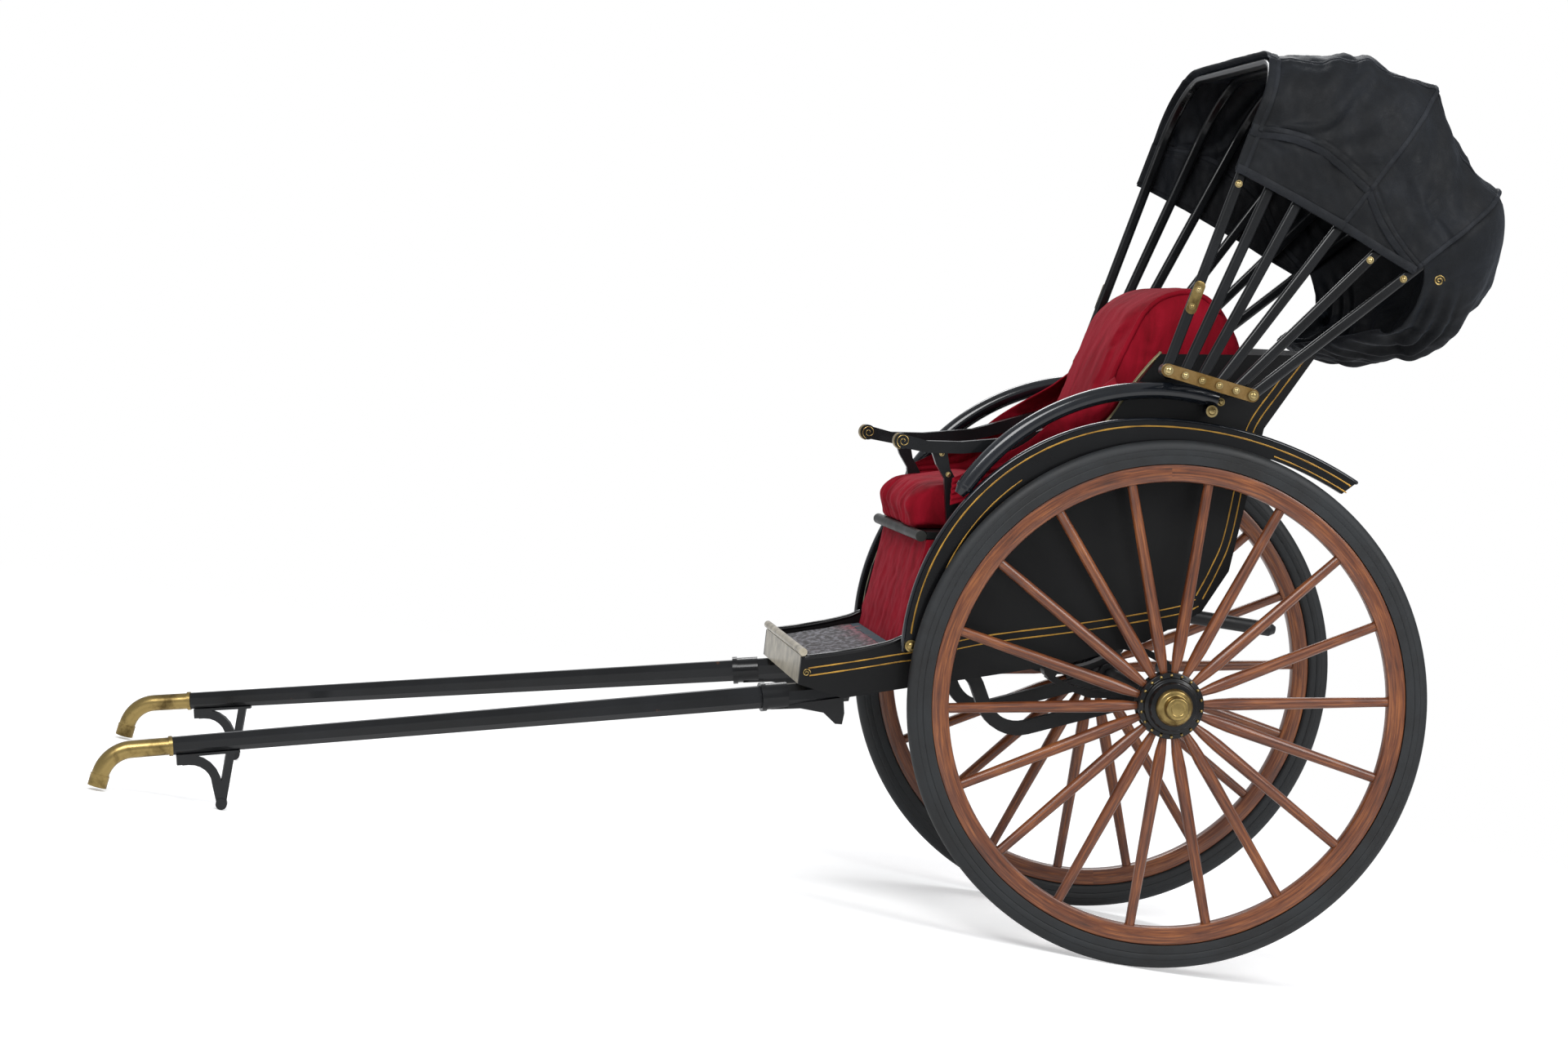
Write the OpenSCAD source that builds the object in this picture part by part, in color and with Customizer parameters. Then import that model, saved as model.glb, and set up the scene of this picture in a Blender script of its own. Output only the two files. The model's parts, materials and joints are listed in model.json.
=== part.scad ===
// Pulled rickshaw: two-wheeled passenger cart with a folding hood, parked on its shaft stands.
// Level frame: origin on the axle's centre, +X to the rear, +Z up, shafts towards -X.
// parked() tips the level cart onto its stands and moves the origin to the base's centre.

/* [Wheels] */
// Outside diameter of the tyre
wheel_d = 1060; // [960:10:1120]
// Distance between the middle planes of the wheels
track = 748; // [740:2:900]
// Radial depth of the rubber tyre
tyre_depth = 47; // [30:1:60]
// Width of the tyre
tyre_w = 38; // [26:1:44]
// Radial depth of the wooden rim
rim_depth = 36; // [25:1:50]
// Width of the wooden rim
rim_w = 32; // [24:1:36]
// Spokes in each wheel
spoke_count = 18; // [12:1:20]
// Spoke diameter at the rim
spoke_tip_d = 20; // [14:1:22]
// Diameter of the hub's flanges
hub_flange_d = 133; // [120:1:160]
// Diameter of the axle
axle_d = 32; // [24:1:40]

/* [Body] */
// Outside width of the body
body_w = 620; // [560:5:640]
// Thickness of the side, back and floor panels
panel_t = 14; // [10:1:18]
// Depth of the seat cushion
cushion_h = 80; // [50:1:90]
// Distance from each armrest's middle plane to the side panel beside it
arm_inset = 51; // [38:1:60]

/* [Shafts] */
// Distance of each shaft's axis inside the body's side at the toe board
shaft_inset = 55; // [50:1:80]
// Distance between the shafts at the front ferrules
shaft_span_front = 790; // [600:2:800]
// Length of each shaft ahead of the toe board
shaft_len = 1215; // [1000:5:1300]
// Thickness of a shaft at the front
shaft_front_d = 34; // [28:1:40]
// Thickness of a shaft at the rear
shaft_rear_d = 44; // [40:1:48]
// Bend radius of the brass grips
grip_bend_r = 66; // [50:1:90]
// Depth of the stand's foot below the shaft's axis
stand_h = 120; // [100:1:140]

/* [Hood] */
// Distance between the middle planes of the hood bow legs
bow_span = 860; // [840:2:900]
// Width of a bow leg
bow_w = 22; // [16:1:24]
// Thickness of a bow leg
bow_t = 14; // [10:1:16]
// Spacing of the bow pivots along the brass plate
pivot_pitch = 35.6; // [34:0.2:40]
// Radius of the bows' shoulders
shoulder_r = 150; // [100:5:180]
// Thickness of the hood cloth
cloth_t = 5; // [4:0.5:8]

/* [Hidden] */

eps = 0.01;
fine = 64;
run_gap = 0.05;
seat_gap = 0.3;
move_gap = 6;

wheel_r = wheel_d / 2;
rim_r = wheel_r - tyre_depth;
rim_in_r = rim_r - rim_depth;
wheel_y = track / 2;
side_y = body_w / 2;
inner_y = side_y - panel_t;
arm_y = inner_y - arm_inset;
shaft_y = side_y - shaft_inset;

// Hub rings as [radius, near end, far end], measured outwards from the wheel's middle plane
hub_core_r = 47;
hub_in = -44;
hub_out = 46;
hub_rings = [
    [hub_core_r, hub_in, hub_out],
    [hub_flange_d / 2, 14, 22],
    [hub_flange_d / 2, -22, -14],
    [56, 22, 30],
    [36, hub_in - 14, hub_in]];
spoke_root_d = 26;
spoke_tenon = 14;
peg_d = 15;
tenon_gap = 0.2;
cap_ring_r = 37;
cap_ring_l = 12;
cap_r = 23.5;
cap_l = 24;
axle_r = axle_d / 2;
axle_end = wheel_y + hub_out + 4;
collar_y = wheel_y + hub_in - 14 - seat_gap;
collar_t = 12;

// Shaft line in side view: its axis at the toe board and its downward slope forwards
shaft_x = -760;
shaft_z = 17;
shaft_slope = 3.2;
shaft_tail = 130;
shaft_yaw = atan((shaft_span_front / 2 - shaft_y) / shaft_len);
grip_straight = 78;
grip_bend = 72;
grip_d = 34;
grip_end = 24;

// Stand under each shaft, placed along the shaft from its front end
stand_back = 86;
stand_d = 18;
stand_w = 20;
stand_bend_r = 52;
foot_r = 11;
foot_w = 26;
function shaft_half(s) = (shaft_rear_d + (shaft_front_d - shaft_rear_d) * s / shaft_len) / 2;

// Foot of a stand in the level frame, and the tip that sets wheels and feet on one floor
foot_s = shaft_len - stand_back;
foot_x = shaft_x + (stand_h * sin(shaft_slope) - foot_s * cos(shaft_slope)) * cos(shaft_yaw);
foot_z = shaft_z - foot_s * sin(shaft_slope) - stand_h * cos(shaft_slope);
foot_reach = sqrt(foot_x * foot_x + foot_z * foot_z);
park_tip = asin((wheel_r - foot_r) / foot_reach) - asin(-foot_z / foot_reach);
function tipped_x(p) = p[0] * cos(park_tip) - p[1] * sin(park_tip);

grip_centre = [shaft_x + (grip_bend_r * sin(shaft_slope)
        - (shaft_len + grip_straight) * cos(shaft_slope)) * cos(shaft_yaw),
    shaft_z - (shaft_len + grip_straight) * sin(shaft_slope) - grip_bend_r * cos(shaft_slope)];

// Body in side view. The floor slopes up to the rear.
floor_x = -732;
floor_z = 74;
floor_slope = 8.4;
floor_end = 62;
toe_h = 26;
toe_low_z = 44;
toe_rake = 6;
toe_lip = 3;
side_hem = [[-650, 15], [-512, 35], [-371, 54], [-187, 80], [-36, 120]];
mat_t = 6;
mat_x = [floor_x + 20, -545];
riser_foot = -535;
riser_t = 22;
seat_x = [-478, 110];
seat_z = 345;
seat_board_t = 14;
back_foot = [80, 180];
back_bend = [136, 262];
back_knee = [206, 549];
back_top = [313, 696];
wing_x = -6;
wing_z = 700;
wing_foot = 99;
function floor_at(x) = floor_z + (x - floor_x) * tan(floor_slope);
function floor_under(x) = floor_at(x) - panel_t;
function over_shaft(x) = shaft_z + (x - shaft_x) * tan(shaft_slope) + shaft_rear_d / 2 / cos(shaft_slope) + seat_gap;

// Fender in side view: two arcs as [centre x, centre z, radius]
fender_front = [-45, 80, 488];
fender_tail = [-45, -225, 793];
fender_depth = 52;
fender_t = 16;
fender_y = wheel_y - tyre_w / 2 - move_gap - fender_t;
fender_foot = 176;
fender_end = 57;
panel_inset = 5;

// Armrests
arm_w = 34;
arm_strut_w = 16;
cushion_y = arm_y - arm_strut_w / 2 - 5;

// Round side rail over each fender
rail_arc = [-32, 163, 465];
rail_d = 34;
rail_y = side_y + 20;
rail_start = 144.5;
rail_end = 73;

// Springs and braces
spring_half = 125;
spring_rise = 44;
leaf_t = 13;
leaf_w = 44;
spring_y = side_y - 74;
spring_x = -98;
spring_z = 59;
leaf_r = (spring_half * spring_half + spring_rise * spring_rise) / (2 * spring_rise);
bolster_z = spring_z + spring_rise + leaf_t;
brace_y = side_y - 112;
brace_w = 22;
brace_d = 28;
brace_front = [-455, 60];
brace_crest = [-405, 12, 48];
brace_dip = [-274.5, 11.7, 75];
brace_foot_l = 44;
sill_t = 24;
sill_x = floor_x + panel_t + 1;
sill_y = [inner_y - sill_t, inner_y];

// Hood bows as [angle above the horizontal, length from pivot to crown], front to rear
bows = [[69, 664], [65, 700], [61, 735], [52, 752], [43.5, 680], [37, 668]];
plate_x = -22;
plate_z = 670;
plate_slope = 16.5;
plate_t = 5;
plate_w = 26;
pin_r = 4;
bow_y = bow_span / 2;
carrier_t = 8;
carrier_y = bow_y - bow_t / 2 - 1 - carrier_t;
plate_y = bow_y + bow_t / 2 + 1;
cloth_gap = 6;
hem_front = [100, 1076];
hem_rear = [522, 838];

// Rear curtain in side view, from under the rear bow's crown down to the back panel's top edge
rear_leg = bows[5][0];
rear_crown = [plate_x + 5 * pivot_pitch * cos(plate_slope) + (bows[5][1] - bow_t / 2) * cos(rear_leg),
    plate_z - 5 * pivot_pitch * sin(plate_slope) + (bows[5][1] - bow_t / 2) * sin(rear_leg)];
curtain_line = [rear_crown + (bow_w / 2 + 1) * [sin(rear_leg), -cos(rear_leg)],
    [784, 960], [744, 850], [672, 774], [608, 734], [459, 709], [316, back_top[1] + 11.2]];
origin_shift = -(tipped_x(grip_centre) - grip_bend_r - grip_d / 2 + tipped_x(curtain_line[1])) / 2;

// Points along an arc in the XZ plane
function arc(c, a0, a1, n) = [for (i = [0:n]) let (a = a0 + (a1 - a0) * i / n)
    [c[0] + c[2] * cos(a), c[1] + c[2] * sin(a)]];

// Outline of a bar of half width h that follows the points p
function across(p, i) = let (d = p[min(i + 1, len(p) - 1)] - p[max(i - 1, 0)]) [-d[1], d[0]] / norm(d);
function band(p, h) = concat([for (i = [0:len(p) - 1]) p[i] + h * across(p, i)],
    [for (i = [len(p) - 1:-1:0]) p[i] - h * across(p, i)]);

// Moves the level cart to its parked pose on wheels and stand feet
module parked() {
    translate([origin_shift, 0, wheel_r]) rotate([0, -park_tip, 0]) children();
}

// Extrudes an XZ outline between two distances along Y
module slab(y0, y1) {
    translate([0, y1, 0]) rotate([90, 0, 0]) linear_extrude(y1 - y0) children();
}

// Puts a piece drawn on the right on one side: 1 is right, -1 is left
module on_side(side) {
    if (side > 0) children();
    else mirror([0, 1, 0]) children();
}

module both_sides() {
    for (s = [-1, 1]) on_side(s) children();
}

// ---------- Wheels ----------
module tyre(side) {
    color("#26282a") parked() translate([0, side * wheel_y, 0]) rotate([90, 0, 0])
        rotate_extrude($fn = 96) polygon([[rim_r, -tyre_w / 2], [wheel_r - 12, -tyre_w / 2],
            [wheel_r - 3, -tyre_w / 2 + 5], [wheel_r, -tyre_w / 4], [wheel_r, tyre_w / 4],
            [wheel_r - 3, tyre_w / 2 - 5], [wheel_r - 12, tyre_w / 2], [rim_r, tyre_w / 2]]);
}

// Places the spokes' children around the wheel, each along +Z from the hub's centre
module around_wheel(side) {
    translate([0, side * wheel_y, 0])
        for (i = [0:spoke_count - 1]) rotate([0, (i + 0.5) * 360 / spoke_count, 0]) children();
}

module rim(side) {
    color("#6e4126") parked() difference() {
        translate([0, side * wheel_y, 0]) rotate([90, 0, 0]) difference() {
            cylinder(h = rim_w, r = rim_r, center = true, $fn = 96);
            cylinder(h = rim_w + 2, r = rim_in_r, center = true, $fn = 96);
        }
        around_wheel(side) translate([0, 0, rim_in_r - 20])
            cylinder(h = 20 + spoke_tenon, d = spoke_tip_d + tenon_gap, $fn = fine);
    }
}

module spokes(side) {
    color("#7c4527") parked() around_wheel(side) {
        translate([0, 0, hub_core_r - spoke_tenon]) cylinder(h = spoke_tenon + 25, d = peg_d, $fn = fine);
        translate([0, 0, hub_flange_d / 2 + 4]) cylinder(h = 60, d1 = 17, d2 = spoke_root_d, $fn = fine);
        translate([0, 0, hub_flange_d / 2 + 64])
            cylinder(h = rim_in_r - hub_flange_d / 2 - 64, d1 = spoke_root_d, d2 = spoke_tip_d, $fn = fine);
        translate([0, 0, rim_in_r - 1]) cylinder(h = 1 + spoke_tenon, d = spoke_tip_d, $fn = fine);
    }
}

module hub(side) {
    color("#1b1b1d") parked() difference() {
        on_side(side) translate([0, wheel_y, 0]) rotate([-90, 0, 0]) difference() {
            union() for (h = hub_rings) translate([0, 0, h[1]])
                cylinder(h = h[2] - h[1], r = h[0], $fn = fine);
            translate([0, 0, hub_in - 20]) cylinder(h = 200, r = axle_r + run_gap, $fn = fine);
        }
        around_wheel(side) translate([0, 0, hub_core_r - spoke_tenon])
            cylinder(h = 60, d = peg_d + tenon_gap, $fn = fine);
    }
}

module hub_cap(side) {
    color("#a98a4b") parked() on_side(side) translate([0, wheel_y + hub_out, 0]) rotate([-90, 0, 0])
        difference() {
            union() {
                cylinder(h = cap_ring_l, r = cap_ring_r, $fn = fine);
                cylinder(h = cap_ring_l + cap_l, r = cap_r, $fn = fine);
            }
            translate([0, 0, -1]) cylinder(h = 9, r = axle_r + 2, $fn = fine);
        }
}

// ---------- Running gear ----------
module axle() {
    color("#202123") parked() {
        rotate([90, 0, 0]) cylinder(h = 2 * axle_end, r = axle_r, center = true, $fn = fine);
        both_sides() {
            translate([0, collar_y, 0]) rotate([90, 0, 0]) cylinder(h = collar_t, r = axle_r + 12, $fn = fine);
            slab(spring_y - leaf_w / 2, spring_y + leaf_w / 2)
                difference() {
                translate([-20, 0]) square([40, spring_z]);
                translate([spring_x, spring_z - spring_rise + leaf_r])
                    circle(r = leaf_r + leaf_t + seat_gap, $fn = 96);
                translate([-30, 36]) square([60, 60]);
            }
        }
    }
}

module leaf() {
    translate([spring_x, spring_z]) intersection() {
        translate([0, spring_rise - leaf_r]) difference() {
            circle(r = leaf_r + leaf_t, $fn = 96);
            circle(r = leaf_r, $fn = 96);
        }
        translate([-spring_half, 0]) square([2 * spring_half, spring_rise + leaf_t + 1]);
    }
}

module springs() {
    color("#232325") parked() both_sides() slab(spring_y - leaf_w / 2, spring_y + leaf_w / 2) {
        leaf();
        translate([0, 2 * spring_z]) mirror([0, 1]) leaf();
        for (e = [-1, 1]) translate([spring_x + e * (spring_half - 6), spring_z]) circle(d = 28, $fn = fine);
    }
}

// Bent brace on each side, from under the floor down and back up to the axle.
// Its centre line is two arcs and a straight run that ends on the axle.
brace_line = concat([brace_front], arc(brace_crest, 90, 20, 5), arc(brace_dip, 200, 283, 8), [[0, 0]]);
module braces() {
    color("#1d1d1f") parked() both_sides() difference() {
        slab(brace_y - brace_w / 2, brace_y + brace_w / 2) {
            polygon(band(brace_line, brace_d / 2));
            circle(r = axle_r + 10, $fn = fine);
            polygon([brace_front, [brace_front[0], floor_under(brace_front[0])],
                [brace_front[0] + brace_foot_l, floor_under(brace_front[0] + brace_foot_l)],
                [brace_front[0] + brace_foot_l, brace_front[1]]]);
        }
        rotate([90, 0, 0]) cylinder(h = body_w + 40, r = axle_r + tenon_gap / 2, center = true, $fn = fine);
    }
}

module underframe() {
    color("#1a1a1c") parked() {
        both_sides() slab(sill_y[0], sill_y[1])
            polygon([[sill_x, floor_under(sill_x)], [sill_x, toe_low_z], [-650, 20], [-512, 38], [-371, 57],
                [-187, 83], [-36, 123], [70, 172], [70, floor_under(70)]]);
        slab(-sill_y[0], sill_y[0])
            polygon([[spring_x - 50, bolster_z], [spring_x + 50, bolster_z],
                [spring_x + 50, floor_under(spring_x + 50)], [spring_x - 50, floor_under(spring_x - 50)]]);
        slab(-sill_y[0], sill_y[0]) polygon([[-705, over_shaft(-705)], [-655, over_shaft(-655)],
            [-655, floor_under(-655)], [-705, floor_under(-705)]]);
        slab(-brace_y, brace_y) polygon([[26, 132], [70, 140], [70, floor_under(floor_end)],
            [floor_end, floor_under(floor_end)], [26, floor_under(26)]]);
    }
}

rear_bar_start = [72.9, 153.5];
rear_bar_end = [312, 113];
module rear_bar() {
    d = rear_bar_end - rear_bar_start;
    color("#1a1a1c") parked() translate([rear_bar_start[0], 0, rear_bar_start[1]])
        rotate([0, 90 - atan2(d[1], d[0]), 0]) {
            cylinder(h = norm(d) - 12, d = 30, $fn = fine);
            translate([0, 0, norm(d) - 12]) cylinder(h = 12, d1 = 30, d2 = 16, $fn = fine);
        }
}

// ---------- Body ----------
module side_outline() {
    top = [fender_front[0], fender_front[1], fender_front[2] - panel_inset];
    tail = [fender_tail[0], fender_tail[1], fender_tail[2] - panel_inset];
    polygon(concat(side_hem, [back_foot, back_bend, back_knee, back_top, [wing_x, wing_z]],
        arc(top, wing_foot, 174, 12),
        [[floor_x, floor_z + toe_h - toe_lip], [floor_x - toe_rake, toe_low_z]]));
}

module side_panel(side) {
    color("#151517") parked() on_side(side) slab(inner_y, side_y) side_outline();
}

module floor_board() {
    color("#18181a") parked() slab(-inner_y, inner_y)
        polygon([[floor_x + panel_t, floor_at(floor_x + panel_t)], [floor_end, floor_at(floor_end)],
            [floor_end, floor_under(floor_end)],
            [floor_x + panel_t, floor_under(floor_x + panel_t)]]);
}

module toe_board() {
    color("#4a4038") parked() slab(-inner_y, inner_y)
        polygon([[floor_x, floor_z + toe_h], [floor_x + panel_t, floor_z + toe_h],
            [floor_x + panel_t, toe_low_z], [floor_x - toe_rake, toe_low_z]]);
}

module toe_edge() {
    color("#8d8880") parked() translate([floor_x + 4, 0, floor_z + toe_h + 8 + seat_gap]) rotate([90, 0, 0])
        cylinder(h = body_w, d = 16, center = true, $fn = fine);
}

module floor_mat() {
    color("#6d6f70") parked() slab(-inner_y + 4, inner_y - 4)
        translate([0, seat_gap]) polygon([[mat_x[0], floor_at(mat_x[0])], [mat_x[1], floor_at(mat_x[1])],
            [mat_x[1], floor_at(mat_x[1]) + mat_t], [mat_x[0], floor_at(mat_x[0]) + mat_t]]);
}

module riser() {
    color("#a3122a") parked() slab(-inner_y, inner_y)
        polygon([[riser_foot, floor_at(riser_foot) + seat_gap],
            [seat_x[0], seat_z - seat_board_t - seat_gap],
            [seat_x[0] + riser_t, seat_z - seat_board_t - seat_gap],
            [riser_foot + riser_t, floor_at(riser_foot + riser_t) + seat_gap]]);
}

module seat_board() {
    color("#1a1a1c") parked() slab(-inner_y, inner_y)
        translate([seat_x[0], seat_z - seat_board_t]) square([seat_x[1] - seat_x[0], seat_board_t]);
}

module seat_rail() {
    color("#3f4740") parked() translate([seat_x[0] - 11 - seat_gap, 0, seat_z - 8]) rotate([90, 0, 0])
        cylinder(h = 2 * inner_y, d = 22, center = true, $fn = fine);
}

module seat_cushion() {
    color("#b01226") parked() slab(-cushion_y, cushion_y)
        polygon([[seat_x[0] - 14, seat_z + seat_gap + 22], [seat_x[0] + 6, seat_z + seat_gap],
            [-70, seat_z + seat_gap], [-70, seat_z + cushion_h - 10], [-100, seat_z + cushion_h],
            [seat_x[0] + 22, seat_z + cushion_h], [seat_x[0] - 14, seat_z + cushion_h - 24]]);
}

module back_panel() {
    color("#151517") parked() slab(-inner_y, inner_y)
        polygon([back_foot, back_bend, back_knee, back_top, back_top + [-12, 8],
            back_knee + [-14, 3], back_bend + [-14, 3], back_foot + [-13, 6]]);
}

module backrest() {
    color("#a81024") parked() slab(5 - cushion_y, cushion_y - 5)
        polygon([[-64, seat_z + seat_gap], [94, seat_z + seat_gap], [186, 560], [196, 700],
            [150, 790], [80, 836], [34, 830], [-10, 806], [-46, 755], [-98, 645], [-132, 540],
            [-140, 470], [-128, seat_z + cushion_h + 7], [-64, seat_z + cushion_h + 5]]);
}

module armrest(side) {
    color("#161618") parked() on_side(side) translate([0, arm_y, 0]) {
        slab(-arm_w / 2, arm_w / 2) {
            polygon([[-520, 512], [-470, 502], [-400, 500], [-292, 508], [-180, 534], [-84, 560],
                [20, 596], [20, 620], [-84, 586], [-190, 560], [-292, 532], [-400, 524], [-470, 526],
                [-520, 540]]);
            translate([-522, 526]) circle(r = 16, $fn = fine);
        }
        slab(-arm_strut_w / 2, arm_strut_w / 2) polygon([[-462, 508], [-430, 506], [-424, 470], [-408, 440],
            [-404, seat_z + seat_gap], [-430, seat_z + seat_gap], [-436, 450], [-452, 478]]);
        translate([4, 0, 604]) rotate([-90, 0, 0]) cylinder(h = inner_y - arm_y, d = 16, $fn = fine);
    }
}

module side_rail(side) {
    color("#1c1d20") parked() on_side(side) translate([0, rail_y, 0]) {
        translate([rail_arc[0], 0, rail_arc[1]]) rotate([90, 0, 0]) rotate([0, 0, rail_end])
            rotate_extrude(angle = rail_start - rail_end, $fn = 96)
                translate([rail_arc[2], 0]) circle(d = rail_d, $fn = fine);
        translate([rail_arc[0], 0, rail_arc[1]]) rotate([0, 1 - rail_start, 0]) translate([rail_arc[2], 0, 0])
            cylinder(h = 22, d1 = rail_d + 2, d2 = rail_d - 14, $fn = fine);
        translate([88, side_y - rail_y, 586]) rotate([-90, 0, 0]) cylinder(h = rail_y - side_y + 24, d = 18, $fn = fine);
    }
}

module fender(side) {
    color("#141416") parked() on_side(side) {
        slab(fender_y, fender_y + fender_t) polygon(concat(
            arc(fender_front, 90, fender_foot, 16),
            arc([fender_front[0], fender_front[1], fender_front[2] - fender_depth], fender_foot, 90, 16),
            arc([fender_tail[0], fender_tail[1], fender_tail[2] - fender_depth], 90, 76, 4),
            arc([fender_tail[0], fender_tail[1], fender_tail[2] - 34], 70, fender_end + 1, 6),
            arc(fender_tail, fender_end, 90, 8)));
        for (a = [fender_foot - 4, 140, 110, 95]) translate([fender_front[0] + (fender_front[2] - 26) * cos(a),
            side_y, fender_front[1] + (fender_front[2] - 26) * sin(a)])
            rotate([-90, 0, 0]) cylinder(h = fender_y - side_y + eps, d = 22, $fn = fine);
    }
}

// ---------- Shafts ----------
// Shaft frame: +X runs back along the shaft, its origin where the shaft meets the toe board
module shaft_frame(side) {
    on_side(side) translate([shaft_x, shaft_y, shaft_z])
        rotate([0, 0, -shaft_yaw]) rotate([0, -shaft_slope, 0]) children();
}

module octagon(x, d) {
    translate([x, 0, 0]) rotate([0, 90, 0]) rotate([0, 0, 22.5]) cylinder(h = 1, d = d / cos(22.5), $fn = 8);
}

module shaft_core(grow) {
    hull() {
        octagon(-shaft_len, shaft_front_d + grow);
        octagon(-1, shaft_rear_d + grow);
        octagon(shaft_tail - 1, shaft_rear_d + grow);
    }
}

module shaft(side) {
    color("#17181a") parked() shaft_frame(side) shaft_core(0);
}

module grip(side) {
    color("#a8894a") parked() shaft_frame(side) translate([-shaft_len, 0, 0]) {
        translate([-grip_straight, 0, 0]) rotate([0, 90, 0]) cylinder(h = grip_straight, d = grip_d, $fn = fine);
        translate([-7, 0, 0]) rotate([0, 90, 0]) cylinder(h = 7, d = grip_d + 5, $fn = fine);
        translate([-grip_straight, 0, -grip_bend_r]) rotate([90, 0, 0]) {
            rotate([0, 0, 90]) rotate_extrude(angle = grip_bend, $fn = 96)
                translate([grip_bend_r, 0]) circle(d = grip_d, $fn = fine);
            rotate([0, 0, 88 + grip_bend]) translate([grip_bend_r, 0, 0]) rotate([-90, 0, 0])
                cylinder(h = grip_end, d = grip_d + 3, $fn = fine);
        }
    }
}

module stand(side) {
    foot = [-foot_s, -stand_h];
    knee = [foot[0] - 6 - stand_bend_r, -shaft_half(foot_s - 42) - seat_gap - 12 - stand_bend_r, stand_bend_r];
    top = knee[1] + stand_bend_r + 12;
    color("#1a1b1d") parked() shaft_frame(side) {
        slab(-stand_w / 2, stand_w / 2) {
            polygon(band(concat([[knee[0] - 12, top - 12]], arc(knee, 90, 0, 6), [foot]), stand_d / 2));
            polygon(band([[foot[0] + 24, top - 2], foot], stand_d / 2 - 1));
            translate([foot[0] - 80, top - 5]) square([122, 5]);
            translate([foot[0] - 80, top - 20]) square([22, 18]);
        }
        translate([foot[0], 0, foot[1]]) rotate([0, shaft_slope, 0]) rotate([0, 0, shaft_yaw]) rotate([90, 0, 0])
            cylinder(h = foot_w, r = foot_r, center = true, $fn = fine);
    }
}

module sockets() {
    color("#161719") parked() for (s = [-1, 1]) difference() {
        shaft_frame(s) {
            translate([-50, 0, 0]) rotate([0, 90, 0]) cylinder(h = 10, d = shaft_rear_d + 14, $fn = fine);
            translate([-40, 0, 0]) rotate([0, 90, 0]) cylinder(h = 44, d = shaft_rear_d + 9, $fn = fine);
            rotate([0, 0, shaft_yaw]) slab(-11, 11)
                polygon([[-30, -26], [8, -18], [118, -12], [118, -44], [112, -66], [98, -64], [76, -40], [30, -28]]);
        }
        shaft_frame(s) shaft_core(2 * seat_gap);
    }
}

// ---------- Hood ----------
// Bow frame: +X runs up the leg from the pivot
module bow_frame(i) {
    translate([plate_x + i * pivot_pitch * cos(plate_slope), 0, plate_z - i * pivot_pitch * sin(plate_slope)])
        rotate([0, -bows[i][0], 0]) children();
}

// Flat bar section with round edges, long side along local Y
module leg_section() {
    square([bow_t, bow_w - bow_t], center = true);
    for (s = [-1, 1]) translate([0, s * (bow_w - bow_t) / 2]) circle(d = bow_t, $fn = fine);
}

module bow(i) {
    leg = bows[i][1] - shoulder_r - bow_t / 2;
    color("#1b1c1f") parked() bow_frame(i) {
        both_sides() {
            difference() {
                union() {
                    translate([0, bow_y, 0]) rotate([90, 0, 0]) cylinder(h = bow_t, r = 13, center = true, $fn = fine);
                    translate([0, bow_y, 0]) rotate([0, 90, 0]) rotate([0, 0, 90])
                        linear_extrude(leg) leg_section();
                }
                translate([0, bow_y, 0]) rotate([90, 0, 0])
                    cylinder(h = bow_t + 2, r = pin_r + run_gap, center = true, $fn = fine);
            }
            translate([leg, bow_y - shoulder_r, 0]) rotate_extrude(angle = 90, $fn = 96)
                translate([shoulder_r, 0]) leg_section();
        }
        translate([leg + shoulder_r, bow_y - shoulder_r, 0]) rotate([90, 0, 0])
            linear_extrude(2 * (bow_y - shoulder_r)) leg_section();
    }
}

module hood_plate(side) {
    color("#a5874d") parked() on_side(side) translate([plate_x, 0, plate_z]) rotate([0, plate_slope, 0]) {
        span = 5 * pivot_pitch;
        slab(plate_y, plate_y + plate_t) {
            translate([0, -plate_w / 2]) square([span, plate_w]);
            for (x = [0, span]) translate([x, 0]) circle(d = plate_w, $fn = fine);
        }
        for (i = [0:5]) translate([i * pivot_pitch, 0, 0]) rotate([-90, 0, 0]) {
            translate([0, 0, carrier_y + carrier_t]) cylinder(h = plate_y - carrier_y, r = pin_r, $fn = fine);
            translate([0, 0, plate_y + plate_t - eps]) cylinder(h = 4, r = 7, $fn = fine);
        }
    }
}

module hood_carriers() {
    color("#151618") parked() both_sides() translate([plate_x, 0, plate_z]) rotate([0, plate_slope, 0]) {
        span = 5 * pivot_pitch;
        slab(carrier_y, carrier_y + carrier_t) {
            translate([0, -plate_w / 2]) square([span, plate_w]);
            for (x = [0, span]) translate([x, 0]) circle(d = plate_w, $fn = fine);
        }
        for (i = [0.9, 4.5]) translate([i * pivot_pitch, side_y, 0]) rotate([-90, 0, 0])
            cylinder(h = carrier_y - side_y + 1, d = 22, $fn = fine);
    }
}

// Outer skin of the hood between two bows, grown by g: each bow's outline is a thin rounded arch
module arch(i, g) {
    reach = bows[i][1] + cloth_gap + g;
    half = bow_y + bow_t / 2 + cloth_gap + g;
    r = shoulder_r + cloth_gap + g;
    bow_frame(i) translate([0, 0, -1]) linear_extrude(2) {
        translate([0, -half]) square([reach - r, 2 * half]);
        translate([0, -half + r]) square([reach, 2 * (half - r)]);
        for (s = [-1, 1]) translate([reach - r, s * (half - r)]) circle(r = r, $fn = 32);
    }
}

module gores(g) {
    for (i = [0:4]) hull() {
        arch(i, g);
        arch(i + 1, g);
    }
}

// Everything below the hem line, from the front bow to the rear bow
module below_hem(drop) {
    d = hem_rear - hem_front;
    slab(-bow_y - 100, bow_y + 100)
        polygon([hem_front - 0.4 * d + [0, -drop], hem_rear + 0.9 * d + [0, -drop], [1400, -200], [-700, -200]]);
}

module hood_cloth() {
    color("#232426") parked() difference() {
        gores(cloth_t);
        gores(0);
        below_hem(0);
    }
}

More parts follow.
